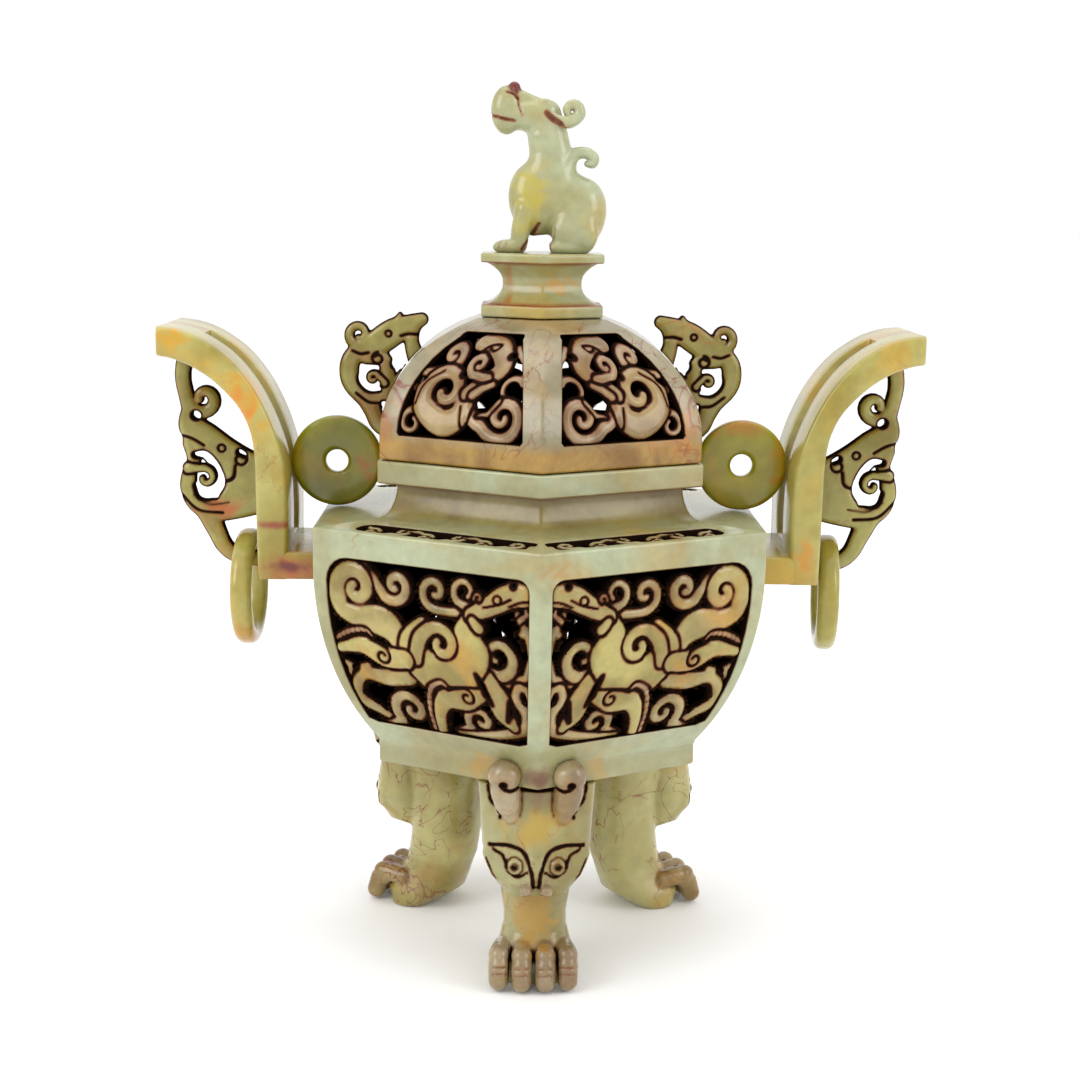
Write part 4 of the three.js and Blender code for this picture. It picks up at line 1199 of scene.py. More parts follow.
def shoulder_band() -> Relief:
    """Draws the scroll border of the shoulder, u along the face and v away from the axis."""
    art = Relief((-30, 52), (36, 66), 0.5)
    places = (-21.5, -12.5, -3.5, 6.0, 15.5, 25.0)
    for n, u in enumerate(places):
        up = 1 if n % 2 == 0 else -1
        v = 59 + 1.2 * up
        tail = [(u - 7.6, 59 - 2.4 * up, 1.8), (u - 4.4, 59 - 3.4 * up, 2.2)]
        art.lay([curl((u, v), 180 + 60 * up, up * 1.15, (3.3, 0.6), (2.4, 1.8), tail)], -0.3, 0.3, 1.0, 0.8, 1.4, 0.7)
    art.lay([[(31.4, 58.8, 4.6), (34.2, 58.8, 4.6)]], -0.1, 0.2, 1.0, 0.8, 2.0, 0.8)
    return art


def shoulder_outline() -> np.ndarray:
    """Returns the outline of the border's sunk ground, counter-clockwise."""
    low, high, left, right = 54.4, 63.4, -26.5, 31.5
    rows = []
    for u in (left + 3, right - 2):
        rows.append((u, low))
    for turn in (-60, -20, 20, 60):
        rows.append((right - 2 + 2.6 * math.cos(math.radians(turn)), 58.9 + 4.5 * math.sin(math.radians(turn))))
    for u in (right - 2, left + 3):
        rows.append((u, high))
    for turn in (120, 160, 200, 240):
        rows.append((left + 3 + 3.4 * math.cos(math.radians(turn)), 58.9 + 4.5 * math.sin(math.radians(turn))))
    return np.array(rows)


STUDIO_GAIN = 0.74
POLISH_SHEEN = 0.032


def tint(red: int, green: int, blue: int) -> Point:
    """Returns the linear colour that looks like a screen colour from 0 to 255 in the light of the studio."""
    linear = (((v / 255 + 0.055) / 1.055) ** 2.4 if v > 10 else v / 255 / 12.92 for v in (red, green, blue))
    return tuple(max(0.003, STUDIO_GAIN * v - POLISH_SHEEN) for v in linear)


FRAME_STONE = StoneFinish(
    "pale green stone", tint(190, 196, 160), tint(172, 166, 122), tint(196, 164, 96), warmth=0.5,
    second_pale=tint(168, 152, 88), second_deep=tint(136, 116, 58), vein_spread=0.44, vein_strength=0.6,
    patches=(
        Patch((6, -72, 128), (8, 9, 4), tint(198, 140, 44), 0.6),
        Patch((-52, -44, 80), (12, 12, 6), tint(206, 168, 90), 0.5),
        # Painted shadow: the dark brown patch on the ledge over the front leg.
        Patch((0, -55, 64.5), (9, 6, 3.8), tint(120, 76, 40), 0.85, 1.6),
        Patch((-18, -48, 65), (9, 8, 6), tint(206, 154, 60), 0.5),
        Patch((18, -48, 65), (9, 8, 6), tint(206, 154, 60), 0.5),
    ),
)
PANEL_STONE = StoneFinish(
    "carved panel stone", tint(202, 190, 116), tint(156, 140, 74), tint(216, 160, 44), warmth=0.7, cloud_scale=44.0,
    second_pale=tint(186, 164, 124), second_deep=tint(134, 112, 78), vein_strength=0.5, vein_spread=0.42,
    halo=tint(150, 78, 36),
)
LID_STONE = StoneFinish(
    "banded stone", tint(178, 168, 140), tint(152, 142, 112), tint(186, 146, 88), warmth=0.5,
    second_pale=tint(192, 154, 82), second_deep=tint(150, 112, 54), vein=tint(140, 60, 20), vein_spread=0.54,
    vein_strength=0.8,
    patches=(Patch((40, -30, 163), (14, 18, 8), tint(208, 136, 40), 0.55),
             Patch((-44, -22, 164), (10, 18, 9), tint(196, 124, 44), 0.55)),
)
DOME_STONE = StoneFinish(
    "carved dome stone", tint(188, 164, 106), tint(136, 110, 64), tint(200, 160, 80), warmth=0.5, cloud_scale=40.0,
    second_pale=tint(184, 156, 124), second_deep=tint(132, 104, 78), vein_strength=0.4, halo=tint(140, 72, 36),
)
BEAST_STONE = StoneFinish(
    "pale yellow-green stone", tint(190, 196, 160), tint(176, 168, 112), tint(208, 176, 84), warmth=0.6,
    second_pale=tint(150, 76, 30), second_deep=tint(112, 52, 22), vein_spread=0.4, vein_strength=0.4,
    halo=tint(164, 74, 26), roughness=0.22, patches=(
        Patch((-10, -11, 203), (1.6, 5, 9), tint(196, 104, 30), 0.7, 1.6),
        Patch((3, -12, 204), (13, 7, 3.4), tint(212, 160, 44), 0.7),
        Patch((-5, -6, 230), (6, 6, 12), tint(206, 190, 84), 0.7),
    ),
)
FRONT_LEG_STONE = StoneFinish(
    "brown grey leg stone", tint(184, 180, 132), tint(156, 144, 92), tint(200, 160, 70), warmth=0.5,
    second_pale=tint(186, 172, 142), second_deep=tint(150, 128, 98), vein_spread=0.5, vein_strength=0.6,
    patches=(Patch((0, -52, 49.5), (12, 7, 7), tint(212, 170, 52), 0.55),
             Patch((0, -45, 17), (8, 9, 14), tint(214, 160, 40), 0.55),
             Patch((0, -50, 57), (5, 6, 3.4), tint(150, 112, 96), 0.6)),
)
SIDE_LEG_STONE = StoneFinish(
    "golden brown leg stone", tint(196, 188, 128), tint(160, 146, 86), tint(204, 144, 50), warmth=0.6,
    second_pale=tint(178, 156, 108), second_deep=tint(134, 104, 62), vein=tint(140, 62, 24), vein_spread=0.6,
    vein_strength=0.85,
)
STRAP_STONE = StoneFinish(
    "yellow-green handle stone", tint(200, 190, 116), tint(170, 154, 78), tint(212, 164, 58), warmth=0.7,
    second_pale=tint(196, 158, 66), second_deep=tint(160, 124, 46), vein_spread=0.46, vein_strength=0.6, patches=(
        Patch((-88, -22, 166), (9, 14, 15), tint(226, 172, 34), 0.7),
        Patch((-89, -22, 165), (5, 14, 8), tint(230, 150, 12), 0.9),
        Patch((-108, -22, 187), (5, 9, 4), tint(226, 172, 34), 0.8),
        Patch((-79, -20, 132.5), (9, 12, 1.5), tint(160, 66, 30), 0.8, 1.4),
        Patch((-72, -10, 119.5), (15, 30, 6.6), tint(192, 98, 16), 1.0, 1.2),
        Patch((-74, -20, 120), (9, 16, 2), tint(116, 40, 10), 0.85),
        Patch((72, -10, 119.5), (12, 28, 6), tint(214, 172, 58), 0.8, 1.2),
        Patch((80, -20, 123), (4, 9, 8), tint(224, 154, 16), 0.8),
    ),
)
SCROLL_STONE = StoneFinish(
    "tan openwork stone", tint(178, 172, 100), tint(142, 130, 64), tint(170, 116, 40), warmth=0.55, cloud_scale=36.0,
    vein_spread=0.48, vein_strength=0.6, patches=(Patch((-97, 0, 134), (10, 6, 4), tint(208, 110, 22), 0.8),
                                                  Patch((-97, 0, 121), (8, 6, 8), tint(196, 146, 44), 0.7)),
)
RING_STONE = StoneFinish(
    "amber ring stone", tint(200, 190, 112), tint(174, 160, 80), tint(212, 154, 50), warmth=0.8, cloud_scale=30.0,
    vein_spread=0.42, vein_strength=0.5, roughness=0.2,
)
# The discs' olive is partly their own colour and partly painted shade, as they sit recessed behind the straps' front
# bars.
OLIVE_LEFT = StoneFinish(
    "deep olive stone", tint(178, 176, 62), tint(140, 138, 40), tint(190, 156, 30), warmth=0.5, roughness=0.2,
    vein_strength=0.3, patches=(Patch((-52, 0, 147), (4, 6, 8), tint(196, 116, 26), 0.7),),
)
OLIVE_RIGHT = StoneFinish(
    "light olive stone", tint(190, 182, 70), tint(152, 146, 44), tint(214, 160, 30), warmth=0.8, roughness=0.2,
    vein_strength=0.3, patches=(Patch((60, 0, 161), (10, 6, 4), tint(206, 136, 28), 0.8),
                                Patch((74, 0, 150), (4, 6, 8), tint(210, 142, 34), 0.7)),
)


def face_sheet(rows: Stroke, corner: float, hole: np.ndarray, place: Callable) -> Shape:
    """Returns one pierced face of a six-sided turning.

    Args:
        rows: The [half, v] of the turning's rings along the face.
        corner: The radius of the turning's upright corners.
        hole: The outline of the hole.
        place: Wraps u, v, w onto the vessel.
    """
    right = [((half - corner) * TAN_30, v) for half, v in rows]
    left = [(-u, v) for u, v in reversed(right)]
    points, triangles = holed_sheet(np.array(right + left), hole, [v for _, v in rows[1:-1]])
    return Shape.plain(place(np.column_stack([points, np.zeros(len(points))])), triangles.tolist())


def six_sided(points: np.ndarray) -> np.ndarray:
    """Returns the half width of the hexagon that each point lies on."""
    turns = np.radians(ALL_FACES)
    return (points[:, :1] * np.cos(turns) + points[:, 1:2] * np.sin(turns)).max(axis=1)


@dataclass
class Builder:
    """The base of every sub-assembly, with the shared node groups."""

    groups: dict[str, bpy.types.NodeTree]

    def finish(self, shape: Shape, name: str, stone: StoneFinish, slot: Slot, nodes: Sequence[str],
               crease: float | None = None) -> bpy.types.Object:
        """Makes a shape a finished piece of the frame.

        Args:
            shape: The geometry.
            name: The name of the piece.
            stone: Its finish.
            slot: The record's slot.
            nodes: The CAD nodes that it stands for.
            crease: The angle past which an edge stays sharp, or None for a sculpted piece.
        """
        known = bpy.data.materials.get(stone.name)
        material = known if known is not None else stone.material(self.groups)
        return declare(shape.mesh_object(name, material, crease), slot, *nodes)


@dataclass
class Bowl(Builder):
    """The hollow body with its four carved panels and the scroll border of the shoulder."""

    corner: float = 1.2
    bevel: float = 0.5
    border_depth: float = 2.6
    low_row: float = 68.5
    high_row: float = 133.4

    def outline(self) -> list[Point]:
        """Returns the outline of the shell, from the bottom on the axis, outside first."""
        v = VESSEL
        levels = [*np.linspace(self.low_row, v.sweep_top_z, 19), self.high_row]
        sweep = [(float(v.body_half_at(np.array(z))), z, 0.0) for z in levels]
        inner = [(half - v.wall, z, 0.0) for half, z, _ in reversed(sweep) if 73 < z < 125]
        cove = [(v.neck_half + 5.3 * (1 - math.sin(t)), v.rim_bottom_z - 10.3 * math.cos(t), 0.0)
                for t in np.radians((0, 20, 40, 60, 75, 90))]
        return filleted([
            (0, v.ledge_bottom_z), (v.ledge_half, v.ledge_bottom_z), (v.ledge_half, v.ledge_top_z), *sweep,
            (v.body_half, v.body_edge_z, 0.9), *cove, (v.rim_half, v.rim_bottom_z), (v.rim_half, v.rim_top_z),
            (v.bore_half, v.rim_top_z), (v.bore_half, v.neck_foot_z - v.wall),
            (v.body_half - v.wall, v.body_edge_z - v.wall), *inner, (inner[-1][0] - 3, v.floor_z, 2.0), (0, v.floor_z),
        ], 0.7)

    def shell(self) -> Shape:
        """Returns the shell with its openings."""
        v = VESSEL
        outline = self.outline()
        panels = (*FRONT_FACES, *BACK_FACES)
        columns = {(4 * round(angle / 60) - 1) % 24 for angle, _ in panels}
        wall_rows = {}
        for depth in (0.0, v.wall):
            wall_rows[depth] = [n for n, (half, z) in enumerate(outline) if 67.5 < z < 134
                                and abs(half - float(v.body_half_at(np.array(z))) + depth) < 1e-6]
        shoulder = [n for n, (half, z) in enumerate(outline)
                    if v.body_edge_z - 0.4 < z < v.neck_foot_z + 0.01 and v.neck_half + 5 < half < v.body_half - 0.5]
        shoulder = [shoulder[0], shoulder[-1]]
        skipped = {row - 1 for rows in (*wall_rows.values(), shoulder) for row in rows[:-1]}
        parts = [hex_turning(outline, self.corner, lambda row, column: row in skipped and column in columns)]
        border = shoulder_outline()
        for angle, hand in panels:
            hole = BODY_OPENING.outline(v.body_half_at)
            for depth, rows in wall_rows.items():
                place = on_face(angle, hand, lambda z, depth=depth: v.body_half_at(z) - depth)
                opening = inset(hole, self.bevel) if depth else hole
                parts.append(face_sheet(sorted((outline[n] for n in rows), key=lambda p: p[1]), self.corner,
                                        opening, place))
            place = on_face(angle, hand, v.body_half_at)
            parts.append(opening_walls(hole, v.wall, self.bevel, place, 0.9))
            top = self.on_shoulder(angle, hand)
            rows = sorted(((outline[n][0], outline[n][0]) for n in shoulder), key=lambda p: p[1])
            parts.append(face_sheet(rows, self.corner, border, top))
            parts.append(opening_walls(border, self.border_depth, 0.35, top, 0.95))
            # The sunk ground of the border is a sheet of full painted shade, standing for the dark openings of the
            # pierced band.
            floor = inset(border, 0.35)
            sheet = np.column_stack([floor, np.full(len(floor), -self.border_depth)])
            parts.append(Shape.plain(top(sheet), [list(range(len(floor)))], 1.0))
        shape = Shape.joined(parts).welded()
        return self.painted(shape)

    def on_shoulder(self, angle: float, hand: int) -> Callable[[np.ndarray], np.ndarray]:
        """Returns a function that lays u, v, w on the sloping shoulder, v away from the axis and w up."""
        v = VESSEL
        outward = np.array([math.cos(math.radians(angle)), math.sin(math.radians(angle)), 0])
        along = np.array([-outward[1], outward[0], 0]) * hand
        slope = (v.neck_foot_z - v.body_edge_z) / (v.body_half - v.neck_half - 5.3)

        def place(points: np.ndarray) -> np.ndarray:
            z = v.body_edge_z + (v.body_half - points[:, 1]) * slope + points[:, 2]
            return points[:, :1] * along + points[:, 1:2] * outward + z[:, None] * np.array([0, 0, 1])

        return place

    def painted(self, shape: Shape) -> Shape:
        """Paints shade inside the shell and the bore, in the crease under the rim and along the top of the ledge, and
        tints the ledge and the neck.
        """
        v = VESSEL
        x, y, z = shape.vertices.T
        half = six_sided(shape.vertices)
        inside = (half < v.body_half_at(z) - v.wall * 0.8) & (z > v.floor_z - 1) & (z < v.body_edge_z - 1)
        bore = (half < v.bore_half + 0.3) & (z > v.floor_z) & (z < v.rim_top_z - 1)
        # Painted shade inside the shell and the bore.
        shape.stain = np.maximum(shape.stain, np.where(inside | bore, 0.8, 0.0))
        # Painted shade in the crease under the rim.
        shape.stain = np.maximum(shape.stain, 0.4 * np.exp(-(((z - v.rim_bottom_z) / 0.5) ** 2)))
        # A faint painted shade line along the top of the ledge.
        edge = np.exp(-(((z - v.ledge_top_z - 0.6) / 0.6) ** 2))
        shape.stain = np.maximum(shape.stain, 0.16 * edge)
        shape.tone = 0.35 * (1 - ease(66.4, 67.8, z)) + ease(v.neck_foot_z - 0.5, v.neck_foot_z + 2.5, z) * (1 - ease(v.rim_bottom_z - 0.4,
                                                                                v.rim_bottom_z + 0.8, z))
        return shape

    def build(self) -> None:
        """Makes the shell, the panels and the borders."""
        v = VESSEL
        self.finish(self.shell(), "vessel", FRAME_STONE, Slot.PALE, ["body"], 38)
        outline = BODY_OPENING.outline(v.body_half_at)
        border = shoulder_band().fit(shoulder_outline(), 0.5).plate(1.0, 2.4)
        borders = []
        for plain, faces, side_names in ((False, FRONT_FACES, ("left", "right")), (True, BACK_FACES, ("left", "right"))):
            flat = body_panel(plain).fit(outline, 1.6).plate(1.5, 4.4)
            for (angle, hand), side in zip(faces, side_names):
                name = f"panel_{'back' if plain else 'front'}_{side}"
                self.finish(flat.moved(on_face(angle, hand, v.body_half_at)), name, PANEL_STONE, Slot.PALE, ["body"])
                borders.append(border.moved(self.on_shoulder(angle, hand)))
        self.finish(Shape.joined(borders), "shoulder_scrolls", FRAME_STONE, Slot.PALE, ["body"])


@dataclass
class Lid(Builder):
    """The pierced dome with its lip."""

    corner: float = 1.1
    bevel: float = 0.45

    def outline(self) -> list[Point]:
        """Returns the outline of the lid, from the lip up and back down inside."""
        v = VESSEL
        levels = np.concatenate([np.linspace(v.dome_spring_z - 1.6, 189, 14), [191.6]])
        outside = [(float(v.dome_half_at(np.array(z))), z, 0.0) for z in levels]
        inside = [(half - v.dome_wall, z, 0.0) for half, z, _ in reversed(outside)]
        bottom, lip = v.rim_top_z + v.gap, v.bore_half - 0.5
        return filleted([
            (0, v.dome_top_z), (float(v.dome_half_at(np.array(v.dome_top_z))), v.dome_top_z, 0.8),
            *reversed(outside), (v.lid_half, bottom, 0.9), (lip, bottom, 0.3), (lip, bottom - 4.4, 0.8),
            (lip - v.dome_wall, bottom - 4.4, 0.8), (lip - v.dome_wall, bottom + 2, 0.3),
            *reversed(inside), (0, 191.6),
        ], 0.8)

    def shell(self) -> Shape:
        """Returns the dome with its openings."""
        v = VESSEL
        outline = self.outline()
        panels = (*FRONT_FACES, *BACK_FACES)
        columns = {(4 * round(angle / 60) - 1) % 24 for angle, _ in panels}
        wall_rows = {}
        for depth in (0.0, v.dome_wall):
            wall_rows[depth] = [n for n, (half, z) in enumerate(outline) if v.dome_spring_z - 1.7 < z < 191.7
                                and abs(half - float(v.dome_half_at(np.array(z))) + depth) < 1e-6]
        skipped = {row - 1 for rows in wall_rows.values() for row in rows[:-1]}
        parts = [hex_turning(outline, self.corner, lambda row, column: row in skipped and column in columns)]
        for angle, hand in panels:
            hole = LID_OPENING.outline(v.dome_half_at)
            for depth, rows in wall_rows.items():
                place = on_face(angle, hand, lambda z, depth=depth: v.dome_half_at(z) - depth)
                opening = inset(hole, self.bevel) if depth else hole
                parts.append(face_sheet(sorted((outline[n] for n in rows), key=lambda p: p[1]), self.corner,
                                        opening, place))
            parts.append(opening_walls(hole, v.dome_wall, self.bevel, on_face(angle, hand, v.dome_half_at), 0.9))
        shape = Shape.joined(parts).welded()
        z = shape.vertices[:, 2]
        # Painted shade inside the dome.
        inside = six_sided(shape.vertices) < v.dome_half_at(z) - v.dome_wall * 0.8
        shape.stain = np.maximum(shape.stain, np.where(inside & (z < 192), 0.8, 0.0))
        shape.tone = 1 - ease(159.4, 161.6, z)
        return shape

    def build(self) -> None:
        """Makes the shell and the four panels."""
        v = VESSEL
        self.finish(self.shell(), "dome", LID_STONE, Slot.BANDED, ["lid"], 38)
        outline = LID_OPENING.outline(v.dome_half_at)
        for plain, faces, side_names in ((False, FRONT_FACES, ("left", "right")), (True, BACK_FACES, ("left", "right"))):
            flat = lid_panel(plain).fit(outline, 1.2).plate(1.2, 3.2)
            for (angle, hand), side in zip(faces, side_names):
                name = f"dome_panel_{'back' if plain else 'front'}_{side}"
                self.finish(flat.moved(on_face(angle, hand, v.dome_half_at)), name, DOME_STONE, Slot.BANDED, ["lid"])


@dataclass
class Finial(Builder):
    """The hexagonal stand and the seated long-muzzled beast on it."""

    base_z: float = VESSEL.dome_top_z + VESSEL.gap
    plate_z: float = 210.5
    top_z: float = 213.3
    ear: Stroke = field(default=(
        (1.4, 253.6, 1.3), (3.6, 252.4, 1.6), (6.0, 251.8, 1.8), (8.6, 252.4, 1.9), (10.5, 254.2, 1.8),
        (10.0, 256.4, 1.6), (8.2, 257.0, 1.5), (6.8, 256.0, 1.3), (6.9, 254.8, 1.1),
    ))
    tail: Stroke = field(default=(
        (6.6, 238.0, 3.2), (7.8, 241.0, 2.5), (9.8, 242.7, 2.0), (12.6, 243.0, 1.8), (15.0, 241.6, 1.7),
        (14.8, 239.8, 1.4), (13.2, 239.8, 1.1),
    ))

    def stand(self) -> Shape:
        """Returns the waisted stand."""
        low = self.base_z + 3.6
        waist = []
        for t in np.linspace(0, 1, 11):
            spread = 4.8 * abs(2 * t - 1) ** 2.4
            waist.append((11.8 + spread, low + (self.plate_z - low) * t, 0.0))
        shape = hex_turning(filleted([
            (0, self.base_z), (18.2, self.base_z), (18.2, low), *waist, (18.4, self.plate_z), (18.4, self.top_z),
            (0, self.top_z),
        ], 0.6), 0.9)
        z = shape.vertices[:, 2]
        # Painted shade in the creases where the waist meets the base and the plate.
        shape.stain = 0.35 * (np.exp(-(((z - low) / 0.4) ** 2)) + np.exp(-(((z - self.plate_z) / 0.4) ** 2)))
        return shape

    def beast(self) -> Shape:
        """Returns the sculpted beast, facing -X."""
        clay = Clay((-19, -10.5, self.top_z - 0.8), (21.5, 10.5, 265), 0.4)
        clay.add(clay.ball((10.4, 0, 224.6), (8.6, 7.4, 11.4), -14), 2.0)
        clay.add(clay.ball((4, 0, 232), (7.6, 6.6, 8.6)), 3.0)
        clay.add(clay.ball((-2.6, 0, 229), (7.8, 6.2, 11), 8), 2.4)
        clay.add(clay.rope([(1.6, 0, 234, 7.2), (2.1, 0, 242.7, 6.4), (1.2, 0, 247.5, 6.1), (0.8, 0, 251, 5.4)], 0.78), 2.2)
        clay.add(clay.ball((-3.6, 0, 253.6), (7.4, 4.6, 4.9)), 1.6)
        clay.add(clay.ball((0.4, 0, 255), (4.4, 4.0, 3.6)), 1.2)
        clay.add(clay.ball((-11.2, 0, 255.2), (4.7, 3.8, 7.2)), 1.4)
        clay.add(clay.rope([(-9.4, 0, 260.2, 2.0), (-5.4, 0, 258.2, 2.2), (-2, 0, 256.4, 2.6)]), 0.8)
        clay.add(clay.ball((-9.0, 0, 261.6), (1.9, 2.0, 2.0)), 0.5, 1.0)
        for hand in (-1, 1):
            clay.add(clay.rope([(-5.2, hand * 3.6, 226, 3.4), (-6.6, hand * 3.8, 220, 2.9),
                                (-7.2, hand * 3.8, 215.6, 2.6)]), 0.9)
            clay.add(clay.ball((-10.2, hand * 3.8, 214.9), (4.8, 2.8, 2.2)), 0.7)
            clay.add(clay.ball((9.6, hand * 4.9, 219.4), (7.0, 3.2, 7.2), 10), 0.9)
            clay.add(clay.ball((6.4, hand * 5.0, 214.8), (6.0, 2.9, 2.2)), 0.7)
            clay.add(clay.ball((0.0, hand * 2.0, 257.4), (2.2, 1.6, 1.3)), 0.4)
            ear = [(x, hand * 3.6, z, radius) for x, z, radius in flowing(self.ear, 3)]
            clay.add(clay.rope(ear, 1.1), 0.35)
        clay.add(clay.rope([(x, 0, z, radius) for x, z, radius in flowing(self.tail, 3)], 1.3), 0.8)
        # The hollow under the belly gets a faint painted shade.
        clay.cut(clay.ball((-0.8, 0, 214.4), (3.9, 10, 4.0)), 0.8, 0.4, 0.8)
        for hand in (-1, 1):
            self.engraved(clay, hand)
        low = (clay.region(clay.low, clay.low + clay.step * np.array(clay.values.shape)))
        clay.values[low[0]] = np.maximum(clay.values[low[0]], self.top_z + VESSEL.gap * 0.3 - low[1][2])
        return clay.shape(0.75)

    def engraved(self, clay: Clay, hand: int) -> None:
        """Cuts the lines of the face, the mane and the legs on one side."""
        lines = (
            ([(-15.8, 253.7), (-12.4, 252.7), (-8.9, 252.0)], 0.3, 0.5),
            ([(-9.2, 262.4), (-8.0, 259.0), (-7.6, 256.2), (-6.5, 253.7)], 0.25, 0.3),
            ([(-11.0, 260.3), (-9.2, 259.8), (-8.0, 258.4)], 0.3, 0.5),
            ([(0.8, 254.4), (2.6, 252.6), (5.0, 250.9)], 0.8, 0.45),
            ([(5.0, 250.9), (6.6, 250.0), (9.0, 250.2)], 0.4, 0.35),
            ([(-1.2, 222.0), (-3.6, 218.4), (-6.2, 214.4)], 0.4, 0.5),
            ([(3.4, 220.4), (3.2, 217.6)], 0.3, 0.2),
            ([(-12.6, 216.4), (-13.2, 214.4)], 0.2, 0.2),
            ([(-10.6, 216.6), (-11.2, 214.4)], 0.2, 0.2),
        )
        for line, radius, dark in lines:
            clay.trace(line, 1, hand, radius, dark)

    def build(self) -> None:
        """Makes the stand and the beast."""
        self.finish(self.stand(), "finial_stand", BEAST_STONE, Slot.PALE, ["finial"], 38)
        self.finish(self.beast(), "finial_beast", BEAST_STONE, Slot.PALE, ["finial"])


@dataclass
class Legs(Builder):
    """The three beast-head legs, one sculpt turned to its place three times."""

    top_z: float = VESSEL.ledge_bottom_z - VESSEL.gap
    step: float = 0.5
    toe_sides: Stroke = (-10.6, -3.9, 3.1, 9.6)

    def sculpt(self) -> Shape:
        """Returns one leg, with x away from the vessel's axis and y to the side."""
        clay = Clay((17, -19.5, -1.0), (60, 19.5, 71.5), self.step)
        clay.add(clay.column([(0, 36, 50, 12), (5, 29, 52, 12.4), (10, 26.6, 49, 10.6), (14, 25, 46, 9.4),
                              (18, 23.4, 45.2, 9.4), (26, 22.4, 43.6, 10.6), (34, 22, 43, 11.4), (44, 20.4, 43, 13.6),
                              (self.top_z, 19, 44, 17)]), 1.0)
        clay.add(clay.column([(26.5, 39, 46, 6.4), (28.4, 39, 52.4, 9.4), (33, 38, 55.2, 11.8), (37.4, 37, 55.0, 14.4),
                              (43, 36, 54.0, 16.0), (51, 36, 52.0, 16.5), (self.top_z, 36, 50.2, 17.3)]), 1.2)
        self.add_paw(clay)
        self.add_face(clay)
        self.add_horns(clay)
        self.trim(clay)
        self.draw_lines(clay)
        return clay.shape(0.85)

    def add_paw(self, clay: Clay) -> None:
        """Adds the four toes, their knuckles and the grooves between them."""
        for side in self.toe_sides:
            reach = 0.0 if abs(side) > 6 else 1.4
            clay.add(clay.rope([(43, side * 0.9, 9.0, 3.0), (49 + reach, side * 0.98, 9.8, 3.0),
                                (53 + reach, side, 7.4, 3.1), (54.4 + reach, side, 3.2, 3.0)]), 0.4, 1.0)
            clay.add(clay.ball((51.4 + reach, side, 10.0), (3.4, 3.1, 3.0)), 0.4, 1.0)
        for side in (-7.2, -0.3, 6.4):
            clay.engrave([(51.0, side, 11.0), (54.0, side, 7), (55.0, side, 0)], 0.6)

    def add_face(self, clay: Clay) -> None:
        """Adds the brow ridge, the eyes, the cheeks and the nose."""
        for hand in (-1, 1):
            clay.add(clay.ball((53.4, hand * 6.4, 38.2), (2.6, 3.3, 3.0)), 0.5)
            clay.add(clay.rope([(54.4, hand * 0.9, 40, 1.3), (55.4, hand * 1.0, 34, 1.3)]), 1.0)
            clay.add(clay.ball((55.4, hand * 2.9, 31.4), (2.6, 2.0, 1.9)), 0.4, 1.0)
            # The nostrils are cut with painted shade in them.
            clay.cut(clay.ball((57.0, hand * 2.3, 29.2), (1.6, 0.9, 0.8)), 0.3)
            clay.add(clay.rope([(47, hand * 8.6, 31.4, 2.0), (50.0, hand * 11.4, 35.4, 2.0),
                                (48.4, hand * 14.0, 40.4, 1.6)]), 1.2)
        # The mouth is cut with painted shade in it.
        clay.cut(clay.rope([(46, -4.6, 28.4, 1.1), (51, 0, 27.6, 1.0), (46, 4.6, 28.4, 1.1)]), 0.5, 1.0, 0.7)

    def add_horns(self, clay: Clay) -> None:
        """Adds the two curled horns that rise past the foot."""
        for hand in (-1, 1):
            clay.add(clay.rope([(51.0, hand * 7.6, 52.6, 2.6), (51.4, hand * 8.6, 56, 3.7), (51.4, hand * 9.2, 60, 4.3)]),
                     0.6, 1.0)
            clay.add(clay.ball((51.6, hand * 9.5, 65.0), (4.6, 4.9, 4.7)), 0.5, 1.0)
            # The curl of each horn is hollowed with painted shade.
            clay.cut(clay.ball((56.0, hand * 9.9, 63.0), (1.8, 0.9, 0.9)), 0.3)

    def draw_lines(self, clay: Clay) -> None:
        """Cuts the stained lines of the face, the horns and the paw."""
        face = (
            ([(13.9, 43.7), (8.8, 44.2), (4.6, 43.1), (2.5, 40.3), (1.2, 35.9), (0.8, 30.9)], 0.3, 1.0),
            ([(12.6, 42.6), (9.8, 41.2), (9.0, 38.4)], 0.25, 0.9),
            ([(8.8, 40.0), (8.1, 36.8), (5.3, 35.2), (2.3, 36.6)], 0.25, 0.8),
            ([(8.8, 38.4), (8.2, 40.2), (6.4, 41.0), (4.6, 40.2), (3.9, 38.4), (4.6, 36.6), (6.4, 35.8), (8.2, 36.6),
              (8.8, 38.4)], 0.15, 0.6),
            ([(7.6, 38.4), (6.4, 39.5), (5.2, 38.4), (6.4, 37.3), (7.6, 38.4)], 0.15, 0.55),
            ([(6.6, 38.4), (6.2, 38.3)], 0.4, 0.9),
            ([(2.0, 29.9), (2.9, 29.7)], 0.7, 1.0),
            ([(14.6, 39.2), (13.4, 36.4), (11.8, 33.2)], 0.3, 0.7),
            ([(14.4, 61.6), (13.6, 57.0), (10.9, 53.8), (10.6, 51.8)], 0.3, 0.9),
            ([(5.2, 61.8), (7.6, 61.2), (9.4, 61.6)], 0.35, 0.9),
            ([(4.6, 60.4), (4.4, 56.0), (5.0, 52.6)], 0.2, 0.5),
        )
        for hand in (-1, 1):
            for line, radius, dark in face:
                clay.trace([(hand * y, z) for y, z in line], 0, 1, radius, dark)
        clay.trace([(-4.6, 60.6), (0, 60.2), (4.6, 60.6)], 0, 1, 0.6, 1.0)
        for side in self.toe_sides:
            for z in (7.8, 6.0):
                clay.trace([(side - 2.0, z - 0.4), (side, z), (side + 2.0, z - 0.4)], 0, 1, 0.15, 0.42)

